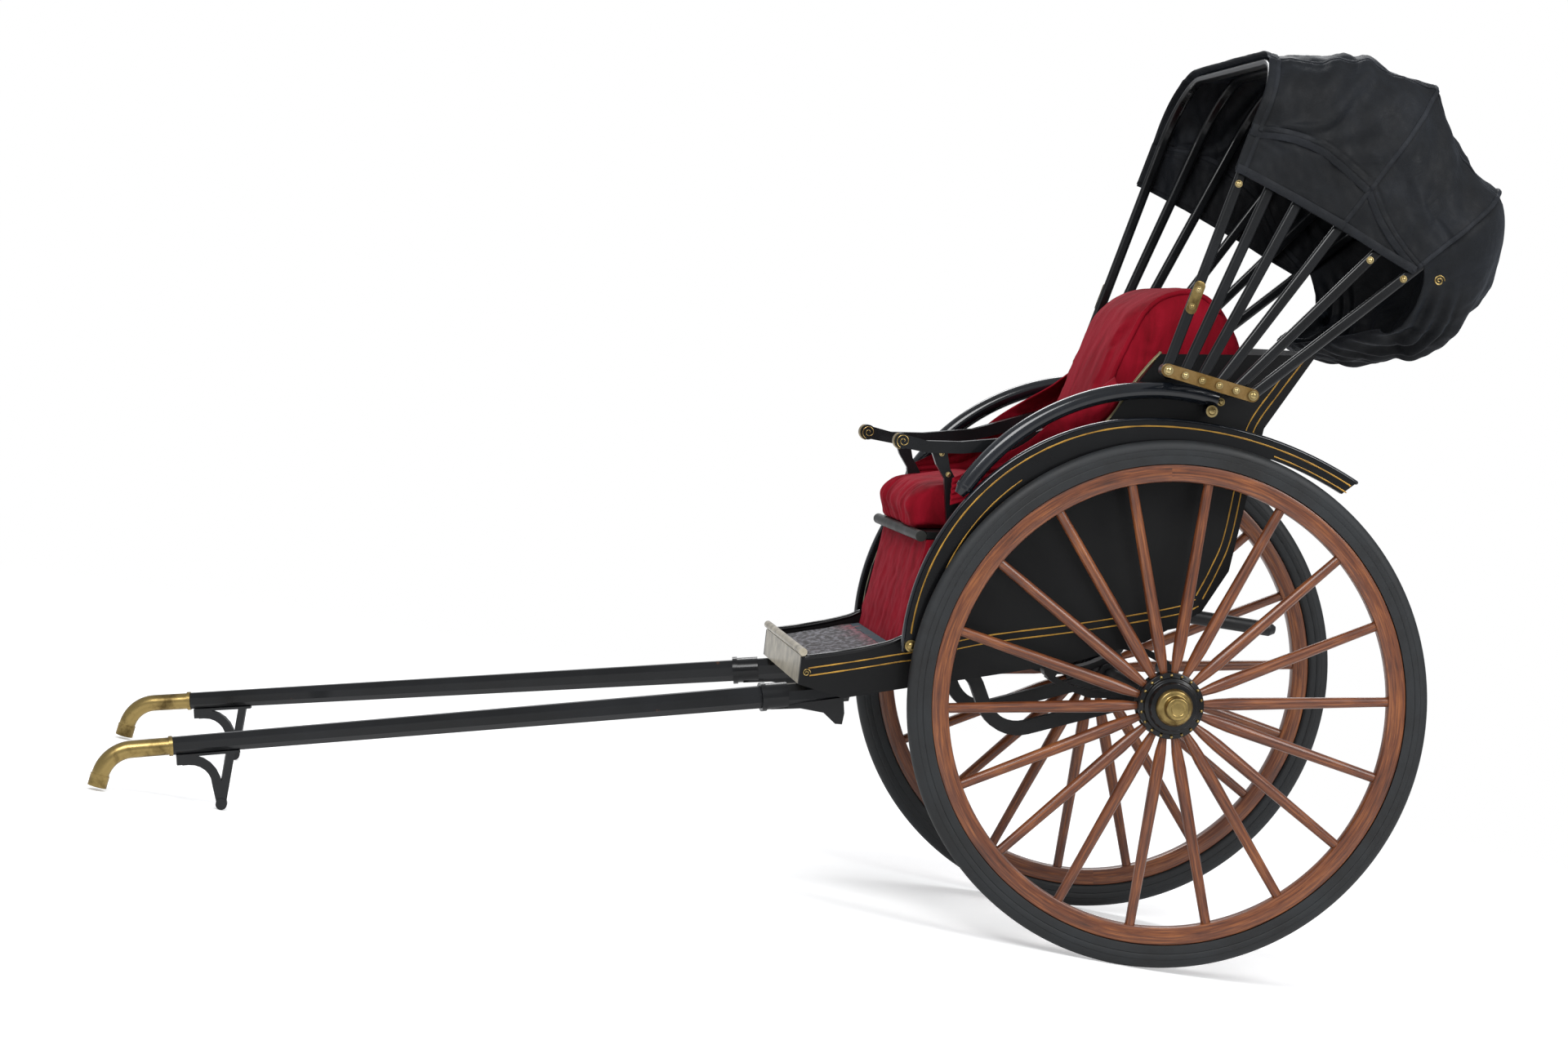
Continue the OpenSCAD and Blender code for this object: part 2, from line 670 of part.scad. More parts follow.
module rear_curtain() {
    color("#202123") parked() slab(70 - bow_y, bow_y - 70) polygon(band(curtain_line, cloth_t / 2));
}

tyre(-1);  // left_tyre
rim(-1);  // left_rim
spokes(-1);  // left_spokes
hub(-1);  // left_hub
hub_cap(-1);  // left_hub_cap
tyre(1);  // right_tyre
rim(1);  // right_rim
spokes(1);  // right_spokes
hub(1);  // right_hub
hub_cap(1);  // right_hub_cap
axle();
springs();
braces();
underframe();
rear_bar();
side_panel(-1);  // left_side_panel
side_panel(1);  // right_side_panel
floor_board();
toe_board();
toe_edge();
floor_mat();
riser();
seat_board();
seat_rail();
seat_cushion();
back_panel();
backrest();
armrest(-1);  // left_armrest
armrest(1);  // right_armrest
side_rail(-1);  // left_side_rail
side_rail(1);  // right_side_rail
fender(-1);  // left_fender
fender(1);  // right_fender
shaft(-1);  // left_shaft
shaft(1);  // right_shaft
grip(-1);  // left_grip
grip(1);  // right_grip
stand(-1);  // left_stand
stand(1);  // right_stand
sockets();
hood_plate(-1);  // left_hood_plate
hood_plate(1);  // right_hood_plate
hood_carriers();
bow(0);  // front_bow
bow(1);  // second_bow
bow(2);  // third_bow
bow(3);  // fourth_bow
bow(4);  // fifth_bow
bow(5);  // rear_bow
hood_cloth();
rear_curtain();
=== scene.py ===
"""Looks of a pulled rickshaw: lacquered wood, varnished wheels, brass, velvet and a canvas hood."""
import json
import math

import bmesh
import bpy
import numpy as np
from mathutils import Matrix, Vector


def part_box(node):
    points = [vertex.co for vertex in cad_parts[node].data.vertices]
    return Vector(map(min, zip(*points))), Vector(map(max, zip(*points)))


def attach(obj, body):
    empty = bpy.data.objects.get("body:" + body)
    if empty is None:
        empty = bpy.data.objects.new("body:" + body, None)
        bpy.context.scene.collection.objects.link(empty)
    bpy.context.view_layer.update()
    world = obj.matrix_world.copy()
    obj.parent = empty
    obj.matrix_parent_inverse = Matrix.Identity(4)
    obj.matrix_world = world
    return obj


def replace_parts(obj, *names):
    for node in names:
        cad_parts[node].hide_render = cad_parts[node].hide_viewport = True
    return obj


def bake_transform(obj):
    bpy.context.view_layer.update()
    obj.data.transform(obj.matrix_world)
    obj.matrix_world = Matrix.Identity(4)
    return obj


bl_info = {
    "name": "Pulled Rickshaw",
    "version": (1, 0, 0),
    "blender": (4, 5, 0),
    "location": "3D View > Sidebar > Rickshaw",
    "description": "Builds the finishes, soft goods, studio and camera of a pulled rickshaw",
    "category": "Object",
}

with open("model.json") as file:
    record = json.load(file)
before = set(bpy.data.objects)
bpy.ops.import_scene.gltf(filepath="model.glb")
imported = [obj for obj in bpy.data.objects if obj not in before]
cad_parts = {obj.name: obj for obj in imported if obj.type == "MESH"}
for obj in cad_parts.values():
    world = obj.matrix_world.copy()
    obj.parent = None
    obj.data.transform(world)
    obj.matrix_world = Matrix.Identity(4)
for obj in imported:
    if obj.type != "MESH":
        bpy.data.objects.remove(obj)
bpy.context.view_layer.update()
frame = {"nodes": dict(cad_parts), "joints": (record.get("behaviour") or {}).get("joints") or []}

# ---------- Places, in millimetres in the level frame: axle at the origin, +X rear, +Z up ----------
TYRE_LOW, TYRE_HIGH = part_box("left_tyre")
WHEEL_R = (TYRE_HIGH.z - TYRE_LOW.z) / 2 * 1000
WHEEL_Y = -(TYRE_LOW.y + TYRE_HIGH.y) / 2 * 1000
AXLE = np.array([(TYRE_LOW.x + TYRE_HIGH.x) / 2, 0, (TYRE_LOW.z + TYRE_HIGH.z) / 2])
PIVOTS = {j["name"]: np.array(j["pos_m"]) for j in frame["joints"]}
PLATE_SLOPE = 16.5
PLATE_RUN = PIVOTS["fifth_bow_fold"] - PIVOTS["hood_fold"]
PITCH = float(np.hypot(PLATE_RUN[0], PLATE_RUN[2])) * 250
TIP = math.degrees(math.atan2(PLATE_RUN[2], PLATE_RUN[0])) + PLATE_SLOPE
SIDE_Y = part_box("right_side_panel")[1].y * 1000
INNER_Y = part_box("right_side_panel")[0].y * 1000
BOW_Y = 430
PLATE_AT = np.array([-22.0, 670.0])
# Bows as (angle above the horizontal in degrees, length from pivot to crown), front to rear
BOWS = np.array([(69, 664), (65, 700), (61, 735), (52, 752), (43.5, 680), (37, 668)], float)
BOW_NAMES = ("front", "second", "third", "fourth", "fifth", "rear")
SHOULDER_R = 150
HEM = np.array([(100, 1076), (522, 838)], float)
FENDER = np.array([-45, 80, 488], float)
TAIL = np.array([-45, -225, 793], float)
FENDER_Y = WHEEL_Y - 25
# Slope of the footwell floor in degrees, and distance of the armrests from the middle
FOOT_SLOPE, ARM_Y = 8.4, 245


def row(points):
    """Level frame in mm to the parked row frame in m: a turn about the axle's line by TIP, then a shift to the
    axle."""
    p = np.asarray(points, float) / 1000
    c, s = math.cos(math.radians(TIP)), math.sin(math.radians(TIP))
    x, y, z = p[..., 0], p[..., 1], p[..., 2]
    return np.stack([x * c - z * s + AXLE[0], y, x * s + z * c + AXLE[2]], -1)


def level(points):
    """The parked row frame in m back to the level frame in mm, the inverse of row."""
    p = (np.asarray(points, float) - AXLE) * 1000
    c, s = math.cos(math.radians(TIP)), math.sin(math.radians(TIP))
    x, y, z = p[..., 0], p[..., 1], p[..., 2]
    return np.stack([x * c + z * s, y, z * c - x * s], -1)


def side_name(side):
    """The side's name from its sign along Y."""
    return "right" if side > 0 else "left"


# ---------- Mesh helpers ----------
def mesh_object(name, verts, faces, uv=None, sharp=40):
    """A mesh object from level-frame points. uv holds one pair a point; edges over the sharp angle stay crisp."""
    mesh = bpy.data.meshes.new(name)
    mesh.from_pydata(row(verts).tolist(), [], faces.tolist() if hasattr(faces, "tolist") else faces)
    if uv is not None:
        layer = mesh.uv_layers.new(name="along")
        corner = np.zeros(len(mesh.loops), np.int32)
        mesh.loops.foreach_get("vertex_index", corner)
        layer.data.foreach_set("uv", np.asarray(uv, np.float32)[corner].ravel())
    mesh.update()
    mesh.polygons.foreach_set("use_smooth", np.ones(len(mesh.polygons), bool))
    mesh.set_sharp_from_angle(angle=math.radians(sharp))
    obj = bpy.data.objects.new(name, mesh)
    bpy.context.scene.collection.objects.link(obj)
    return obj


def grid_faces(rows, cols, wrap_rows=False, wrap_cols=False):
    """Quads between neighbouring points of a rows x cols grid, closed round either way."""
    r = np.arange(rows if wrap_rows else rows - 1)
    c = np.arange(cols if wrap_cols else cols - 1)
    a, b = np.meshgrid(r, c, indexing="ij")
    a2, b2 = (a + 1) % rows, (b + 1) % cols
    return np.stack([a * cols + b, a * cols + b2, a2 * cols + b2, a2 * cols + b], -1).reshape(-1, 4)


def arc_length(points, axis):
    """Running length along one axis of a grid, averaged over the other, in metres."""
    step = np.linalg.norm(np.diff(points, axis=axis), axis=-1).mean(1 - axis)
    return np.concatenate([[0], np.cumsum(step)]) / 1000


def grid_object(name, points, closed_cols=False, capped=False, sharp=40, tidy=True):
    """A surface through a grid of points, its rows along the piece. closed_cols joins the last column to the first,
    and capped shuts both end rows with a fan to their middle point. UVs are metres along and across."""
    n, m = points.shape[:2]
    u, v = np.meshgrid(arc_length(points, 0), arc_length(points, 1), indexing="ij")
    uv = np.stack([u, v], -1).reshape(-1, 2)
    verts, faces = points.reshape(-1, 3), grid_faces(n, m, False, closed_cols)
    if capped:
        ends = np.stack([points[0].mean(0), points[-1].mean(0)])
        ring = np.arange(m)
        fans = [np.stack([np.full(m, n * m + k), s + ring, s + (ring + 1) % m], -1) for k,
            s in ((0, 0), (1, (n - 1) * m))]
        verts = np.concatenate([verts, ends])
        uv = np.concatenate([uv, [uv[0], uv[-1]]])
        faces = faces.tolist() + fans[0][:, ::-1].tolist() + fans[1].tolist()
    obj = mesh_object(name, verts, faces, uv, sharp)
    if tidy:
        face_out(obj)
    return obj


def face_out(obj):
    """Merges doubled points and turns all faces of a closed shell outwards."""
    work = bmesh.new()
    work.from_mesh(obj.data)
    bmesh.ops.remove_doubles(work, verts=work.verts, dist=1e-6)
    bmesh.ops.recalc_face_normals(work, faces=work.faces)
    work.to_mesh(obj.data)
    work.free()
    obj.data.update()


def face_away(obj, middle):
    """Turns an open sheet's faces so that most look away from a middle point in the level frame."""
    mesh = obj.data
    centre, normal = np.zeros(len(mesh.polygons) * 3), np.zeros(len(mesh.polygons) * 3)
    mesh.polygons.foreach_get("center", centre)
    mesh.polygons.foreach_get("normal", normal)
    away = centre.reshape(-1, 3) - row(middle)
    if (away * normal.reshape(-1, 3)).sum() < 0:
        mesh.flip_normals()
    return obj


def coordinates(mesh):
    """Points of a mesh as an array."""
    out = np.zeros(len(mesh.vertices) * 3)
    mesh.vertices.foreach_get("co", out)
    return out.reshape(-1, 3)


def stuffed(obj, cap, limit, voxel=0.006):
    """Stuffs a pad: even cells of the voxel size run as cloth for 20 frames under inner pressure, without gravity.
    No point ends further than cap (m) from its start, and limit keeps the level-frame points off hard neighbours."""
    even = obj.modifiers.new("even", "REMESH")
    even.mode, even.voxel_size, even.use_smooth_shade = "VOXEL", voxel, True
    apply_modifiers(obj)
    start = coordinates(obj.data)
    cloth = obj.modifiers.new("stuffing", "CLOTH")
    cloth.settings.use_pressure = True
    cloth.settings.uniform_pressure_force = 4
    cloth.settings.effector_weights.gravity = 0
    cloth.point_cache.frame_start, cloth.point_cache.frame_end = 1, 20
    for step in range(1, 21):
        bpy.context.scene.frame_set(step)
    graph = bpy.context.evaluated_depsgraph_get()
    moved = coordinates(obj.evaluated_get(graph).data) - start
    far = np.linalg.norm(moved, axis=1)[:, None]
    moved *= np.minimum(1, cap / np.maximum(far, 1e-9))
    obj.modifiers.clear()
    bpy.context.scene.frame_set(1)
    obj.data.vertices.foreach_set("co", row(limit(level(start + moved))).ravel())
    obj.data.update()
    fine = obj.modifiers.new("fine", "SUBSURF")
    fine.levels = fine.render_levels = 1
    return obj


def thickened(obj, thickness, offset):
    """Gives an open sheet a thickness in metres: offset -1 grows it inwards, 0 both ways."""
    thick = obj.modifiers.new("thickness", "SOLIDIFY")
    thick.thickness, thick.offset = thickness, offset
    return obj


def joined(name, objects):
    """One object out of several, under a new name."""
    work = bmesh.new()
    for o in objects:
        work.from_mesh(o.data)
    mesh = objects[0].data.copy()
    mesh.name = name
    work.to_mesh(mesh)
    work.free()
    made = bpy.data.objects.new(name, mesh)
    bpy.context.scene.collection.objects.link(made)
    for o in objects:
        bpy.data.objects.remove(o)
    mesh.set_sharp_from_angle(angle=math.radians(40))
    return made


def lathe(name, profile, centre, axis, segments=96, grain_along=False):
    """A profile of (radius, distance along the axis) turned about an axis through centre. A radius of 0 closes
    an end.
    grain_along makes the first UV run along the axis, as on turned wood."""
    profile = np.asarray(profile, float)
    axis = np.asarray(axis, float) / np.linalg.norm(axis)
    a = np.cross(axis, [0, 1, 0] if abs(axis[1]) < 0.9 else [1, 0, 0])
    a /= np.linalg.norm(a)
    b = np.cross(axis, a)
    t = np.linspace(0, 2 * np.pi, segments + 1)
    ring = np.cos(t)[:, None] * a + np.sin(t)[:, None] * b
    points = np.asarray(centre, float) + profile[None, :, :1] * ring[:, None] + profile[None, :, 1:] * axis
    if grain_along:
        points = np.swapaxes(points, 0, 1)
    return grid_object(name, points, sharp=38)


def path_frames(path):
    """Tangent, side and lift directions along a path, with the side kept square to the path and level-most with Y."""
    path = np.asarray(path, float)
    tangent = np.gradient(path, axis=0)
    tangent /= np.linalg.norm(tangent, axis=1)[:, None]
    across = np.array([0, 1, 0]) - tangent * tangent[:, 1:2]
    across /= np.linalg.norm(across, axis=1)[:, None]
    return tangent, across, np.cross(tangent, across)


def sweep(name, path, section, scale=None, sharp=40, rounded=0.0):
    """A closed section of (side, lift) pairs carried along a path, scaled at each station. rounded adds
    quarter-circle ends of that length in mm."""
    path, section = np.asarray(path, float), np.asarray(section, float)
    scale = np.ones(len(path)) if scale is None else np.asarray(scale, float)
    if rounded:
        t = np.linspace(0, np.pi / 2, 6)[1:]
        tangent = path_frames(path)[0]
        head = path[0] - tangent[0] * rounded * np.sin(t)[::-1, None]
        tail = path[-1] + tangent[-1] * rounded * np.sin(t)[:, None]
        scale = np.concatenate([scale[0] * np.cos(t)[::-1], scale, scale[-1] * np.cos(t)])
        path = np.concatenate([head, path, tail])
        scale = np.maximum(scale, 0.02)
    _, side, lift = path_frames(path)
    points = path[:, None] + scale[:, None, None] * (section[None, :, :1] * side[:, None] + section[None, :,
        1:] * lift[:, None])
    return grid_object(name, points, closed_cols=True, capped=True, sharp=sharp)


def ring(radius, count=20, flat=1.0):
    """Round section, or oval when flat is not 1."""
    t = np.arange(count) * 2 * np.pi / count
    return np.stack([radius * np.cos(t), radius * flat * np.sin(t)], -1)


def smooth_path(points, count):
    """A Catmull-Rom curve through the points, at count even steps."""
    p = np.asarray(points, float)
    p = np.concatenate([2 * p[:1] - p[1:2], p, 2 * p[-1:] - p[-2:-1]])
    s = np.linspace(0, len(p) - 3 - 1e-9, count)
    i, t = s.astype(int), (s % 1)[:, None]
    a, b, c, d = p[i], p[i + 1], p[i + 2], p[i + 3]
    return 0.5 * (2 * b + (c - a) * t + (2 * a - 5 * b + 4 * c - d) * t**2 + (3 * b - a - 3 * c + d) * t**3)


def arc(centre, a0, a1, count, shrink=0.0):
    """XZ points on a circle (x, z, radius) between two angles in degrees."""
    a = np.radians(np.linspace(a0, a1, count))
    return np.stack([centre[0] + (centre[2] - shrink) * np.cos(a), centre[1] + (centre[2] - shrink) * np.sin(a)], -1)


def at_y(xz, y):
    """XZ points set at one distance Y."""
    xz = np.asarray(xz, float)
    return np.stack([xz[:, 0], np.full(len(xz), float(y)), xz[:, 1]], -1)


def waves(points, seed, size, octaves=3):
    """Smooth seeded noise in -1..1 for a cloud of points: sums of sines with random directions, size in mm."""
    rng = np.random.default_rng(seed)
    flat = points.reshape(-1, points.shape[-1])
    total, weight = np.zeros(len(flat)), 0.0
    for k in range(octaves):
        for _ in range(5):
            d = rng.normal(size=flat.shape[1])
            d *= 2 * np.pi * 1.8**k / (size * np.linalg.norm(d))
            total += 0.6**k * np.sin(flat @ d + rng.uniform(0, 2 * np.pi))
        weight += 0.6**k * 2.2
    return (total / weight).reshape(points.shape[:-1])


def bump_line(value, centre, width):
    """A smooth hump of height 1 round a centre value."""
    return np.exp(-(((value - centre) / width) ** 2))


# ---------- Materials ----------
def linear(code):
    """An sRGB hex colour as linear RGBA."""
    c = [int(code[i : i + 2], 16) / 255 for i in (1, 3, 5)]
    return [x / 12.92 if x <= 0.04045 else ((x + 0.055) / 1.055) ** 2.4 for x in c] + [1.0]


def add(tree, kind, settings=None, links=None):
    """Adds a node, sets its properties, and gives its inputs a value or a link from another node's socket."""
    made = tree.nodes.new(kind)
    for key, value in (settings or {}).items():
        setattr(made, key, value)
    for key, value in (links or {}).items():
        if isinstance(value, bpy.types.NodeSocket):
            tree.links.new(value, made.inputs[key])
        else:
            made.inputs[key].default_value = value
    return made


def shades(tree, factor, stops):
    """A colour ramp of (place, hex colour) stops over a factor."""
    ramp = add(tree, "ShaderNodeValToRGB", links={"Fac": factor})
    points = ramp.color_ramp.elements
    while len(points) < len(stops):
        points.new(0.5)
    for point, (place, code) in zip(points, stops):
        point.position, point.color = place, linear(code)
    return ramp.outputs["Color"]


def levels(tree, factor, low, high, start=0.0, end=1.0):
    """Maps a factor's start..end to low..high."""
    return add(tree, "ShaderNodeMapRange", links={"Value": factor, "From Min": start, "From Max": end, "To Min": low,
        "To Max": high}).outputs["Result"]


def begin(name):
    """A new material: its tree, its shader and an object-space coordinate in metres."""
    material = bpy.data.materials.new(name)
    material.use_nodes = True
    tree = material.node_tree
    shader = tree.nodes["Principled BSDF"]
    where = add(tree, "ShaderNodeTexCoord")
    return material, tree, shader, where


def fix(shader, **values):
    """Sets constants on the shader's own sockets; underscores stand for spaces."""
    for key, value in values.items():
        shader.inputs[key.replace("_", " ")].default_value = value


def noise(tree, vector, scale, detail=4.0, rough=0.55, distort=0.0):
    """Fractal noise with scale in repeats a metre."""
    return add(tree, "ShaderNodeTexNoise", links={"Vector": vector, "Scale": scale, "Detail": detail,
        "Roughness": rough, "Distortion": distort}).outputs["Fac"]


def stretched(tree, vector, scale):
    """A coordinate scaled differently along each axis."""
    return add(tree, "ShaderNodeMapping", links={"Vector": vector, "Scale": scale}).outputs["Vector"]


def blended(tree, factor, first, second, blend="MIX"):
    """Two colours mixed by a factor."""
    return add(tree, "ShaderNodeMix", {"data_type": "RGBA", "blend_type": blend},
        {"Factor": factor, 6: first, 7: second}).outputs[2]


def weighted(tree, value, weight, rest):
    """value times weight plus rest."""
    return add(tree, "ShaderNodeMath", {"operation": "MULTIPLY_ADD"}, {0: value, 1: weight, 2: rest}).outputs[0]


def bumped(tree, shader, height, strength, distance, before=None):
    """Bump on the shader's normal, height in metres of relief."""
    links = {"Height": height, "Strength": strength, "Distance": distance}
    if before is not None:
        links["Normal"] = before
    out = add(tree, "ShaderNodeBump", links=links).outputs["Normal"]
    tree.links.new(out, shader.inputs["Normal"])
    return out


def lacquer(name, dark, light, rough, wear=0.0, coat=0.6):
    """Black urushi-like lacquer over wood, brushed and polished: deep colour, a clear gloss and faint hazy rubbing.
    wear shows brown wood through in small patches."""
    material, tree, shader, where = begin(name)
    at = where.outputs["Object"]
    haze = noise(tree, at, 5, 6, 0.6)
    fine = noise(tree, at, 90, 3)
    colour = shades(tree, haze, [(0.35, dark), (0.75, light)])
    if wear:
        patch = noise(tree, at, 16, 8, 0.7, 0.6)
        mask = levels(tree, patch, 0, 1, 0.70 - wear, 0.74 - wear)
        brown = shades(tree, fine, [(0.3, "#2a1a12"), (0.7, "#5b3a24")])
        colour = blended(tree, mask, colour, brown)
    tree.links.new(colour, shader.inputs["Base Color"])
    tree.links.new(levels(tree, haze, rough - 0.03, rough + 0.1, 0.3, 0.7), shader.inputs["Roughness"])
    fix(shader, IOR=1.45, Specular_IOR_Level=0.3, Coat_Weight=coat, Coat_Roughness=0.07, Coat_IOR=1.45)
    bumped(tree, shader, noise(tree, at, 9, 2), 0.2, 0.001)
    return material


def wood(name, dark, mid, light):
    """Varnished oak, turned or bent and rubbed down: grain runs along each piece, with darker pores and a thin
    shine."""
    material, tree, shader, where = begin(name)
    along = stretched(tree, where.outputs["UV"], (3.0, 60.0, 1.0))
    grain = noise(tree, along, 4.0, 8, 0.62, 0.5)
    pores = noise(tree, stretched(tree, where.outputs["UV"], (12.0, 900.0, 1.0)), 1.0, 3)
    patch = noise(tree, where.outputs["Object"], 7, 4)
    mixed = weighted(tree, patch, 0.45, levels(tree, grain, 0.05, 0.55, 0.3, 0.7))
    colour = shades(tree, mixed, [(0.22, dark), (0.5, mid), (0.78, light)])
    stain = levels(tree, pores, 0.62, 1.0, 0.32, 0.5)
    darker = blended(tree, 1.0, colour, stain, "MULTIPLY")
    tree.links.new(darker, shader.inputs["Base Color"])
    tree.links.new(levels(tree, grain, 0.36, 0.52), shader.inputs["Roughness"])
    fix(shader, IOR=1.5, Coat_Weight=0.5, Coat_Roughness=0.16)
    bumped(tree, shader, pores, 0.35, 0.0004)
    return material


def brass(name, light, dark, rough):
    """Cast and polished brass left to tone: a warm metal with brown tarnish in the hollows and handling marks."""
    material, tree, shader, where = begin(name)
    at = where.outputs["Object"]
    tone = noise(tree, at, 22, 7, 0.65, 0.3)
    scratch = noise(tree, stretched(tree, at, (40, 400, 40)), 1, 3)
    tree.links.new(shades(tree, tone, [(0.36, dark), (0.56, light)]), shader.inputs["Base Color"])
    tree.links.new(levels(tree, tone, rough + 0.16, rough, 0.3, 0.7), shader.inputs["Roughness"])
    fix(shader, Metallic=1.0)
    bumped(tree, shader, scratch, 0.12, 0.0003)
    return material


def rubber():
    """Solid vulcanised rubber, moulded in hoops: matt black with a grey bloom and fine circling ribs from the
    mesh."""
    material, tree, shader, where = begin("moulded rubber")
    at = where.outputs["Object"]
    bloom = noise(tree, at, 9, 6, 0.65)
    tree.links.new(shades(tree, bloom, [(0.35, "#0f1011"), (0.7, "#202427")]), shader.inputs["Base Color"])
    tree.links.new(levels(tree, bloom, 0.48, 0.68, 0.3, 0.7), shader.inputs["Roughness"])
    fix(shader, IOR=1.52)
    bumped(tree, shader, noise(tree, at, 160, 4, 0.6), 0.4, 0.0005)
    return material


def velvet():
    """Cotton velvet, woven and cut to a pile: crimson that turns pale at grazing angles, with brushed streaks
    in the nap."""
    material, tree, shader, where = begin("crimson velvet")
    at = where.outputs["Object"]
    nap = noise(tree, stretched(tree, at, (9, 9, 3)), 1.6, 7, 0.62, 1.2)
    pile = noise(tree, at, 700, 2)
    colour = shades(tree, nap, [(0.28, "#6a0613"), (0.5, "#860a1d"), (0.74, "#9a1227")])
    tree.links.new(colour, shader.inputs["Base Color"])
    fix(shader, Roughness=0.85, IOR=1.45, Sheen_Weight=0.2, Sheen_Roughness=0.35, Sheen_Tint=linear("#f2566c"),
        Specular_IOR_Level=0.15)
    first = bumped(tree, shader, nap, 0.3, 0.003)
    bumped(tree, shader, pile, 0.5, 0.0006, first)
    return material


def canvas(name="waxed canvas", dark="#0b0c0e", mid="#121417", light="#1b1e23"):
    """Waxed cotton canvas, plain woven from 1 mm threads, drawn at 2 mm so that it shows: charcoal, rubbed
    paler on folds."""
    material, tree, shader, where = begin(name)
    at, uv = where.outputs["Object"], where.outputs["UV"]
    rub = noise(tree, at, 6, 8, 0.62, 0.6)
    fine = noise(tree, at, 40, 4)
    colour = shades(tree, rub, [(0.32, dark), (0.52, mid), (0.75, light)])
    tree.links.new(colour, shader.inputs["Base Color"])
    tree.links.new(levels(tree, fine, 0.56, 0.74, 0.3, 0.7), shader.inputs["Roughness"])
    fix(shader, IOR=1.45, Specular_IOR_Level=0.25, Sheen_Weight=0.06, Sheen_Roughness=0.5,
        Sheen_Tint=linear("#9fb2cc"))
    warp = add(tree, "ShaderNodeTexWave", {"bands_direction": "X"}, {"Vector": uv, "Scale": 80.0}).outputs["Fac"]
    weft = add(tree, "ShaderNodeTexWave", {"bands_direction": "Y"}, {"Vector": uv, "Scale": 80.0}).outputs["Fac"]
    weave = add(tree, "ShaderNodeMath", {"operation": "ADD"}, {0: warp, 1: weft}).outputs[0]
    crease = noise(tree, at, 14, 5, 0.6, 0.8)
    first = bumped(tree, shader, crease, 0.55, 0.006)
    bumped(tree, shader, weave, 0.1, 0.0003, first)
    return material


def rush_mat():
    """Woven carpet strip, cut and laid: grey wool flecked with black, with ribs across, worn to red ground at
    the rear."""
    material, tree, shader, where = begin("woven floor mat")
    at, uv = where.outputs["Object"], where.outputs["UV"]
    ribs = add(tree, "ShaderNodeTexWave", {"bands_direction": "X"},
        {"Vector": uv, "Scale": 28.0, "Distortion": 2.5, "Detail": 3.0, "Detail Scale": 6.0}).outputs["Fac"]
    fleck = noise(tree, stretched(tree, uv, (95, 42, 1)), 1, 2, 0.5)
    grey = shades(tree, fleck, [(0.42, "#060608"), (0.48, "#2a2b30"), (0.6, "#74757b")])
    red = shades(tree, fleck, [(0.42, "#2a0610"), (0.55, "#8c1436")])
    spread = noise(tree, at, 14, 5)
    along = add(tree, "ShaderNodeSeparateXYZ", links={"Vector": uv}).outputs["X"]
    edge = weighted(tree, spread, 0.09, along)
    mask = levels(tree, edge, 0, 1, 0.165, 0.215)
    colour = blended(tree, mask, grey, red)
    tree.links.new(colour, shader.inputs["Base Color"])
    fix(shader, Roughness=0.8, IOR=1.45, Sheen_Weight=0.2)
    first = bumped(tree, shader, ribs, 0.5, 0.0015)
    bumped(tree, shader, fleck, 0.5, 0.0008, first)
    return material


def painted(name, dark, light, rough, metal=0.0, coat=0.0):
    """Brushed enamel or paint over wood or iron: slightly uneven, with dust in the brush marks."""
    material, tree, shader, where = begin(name)
    at = where.outputs["Object"]
    uneven = noise(tree, at, 18, 6, 0.6)
    tree.links.new(shades(tree, uneven, [(0.35, dark), (0.68, light)]), shader.inputs["Base Color"])
    tree.links.new(levels(tree, uneven, rough - 0.06, rough + 0.1, 0.3, 0.7), shader.inputs["Roughness"])
    fix(shader, Metallic=metal, Coat_Weight=coat, Coat_Roughness=0.15)
    bumped(tree, shader, noise(tree, at, 120, 3), 0.3, 0.0004)
    return material


def toe_paint():
    """Cream enamel rolled over a tin strip, brown along its lower half, with a ragged border."""
    material, tree, shader, where = begin("cream enamel on tin")
    at = where.outputs["Object"]
    uneven = noise(tree, at, 22, 6, 0.6)
    cream = shades(tree, uneven, [(0.35, "#857d6c"), (0.68, "#bdb49f")])
    brown = shades(tree, uneven, [(0.35, "#1c110b"), (0.68, "#3d2718")])
    height = add(tree, "ShaderNodeSeparateXYZ", links={"Vector": at}).outputs["Z"]
    ragged = weighted(tree, uneven, 0.012, height)
    border = float(row([-754, 0, 44])[2])
    mask = levels(tree, ragged, 0, 1, border, border + 0.008)
    colour = blended(tree, mask, brown, cream)
    tree.links.new(colour, shader.inputs["Base Color"])
    fix(shader, Roughness=0.38, IOR=1.5, Coat_Weight=0.2, Coat_Roughness=0.2)
    bumped(tree, shader, noise(tree, at, 110, 3), 0.3, 0.0004)
    return material


FINISHES = {}


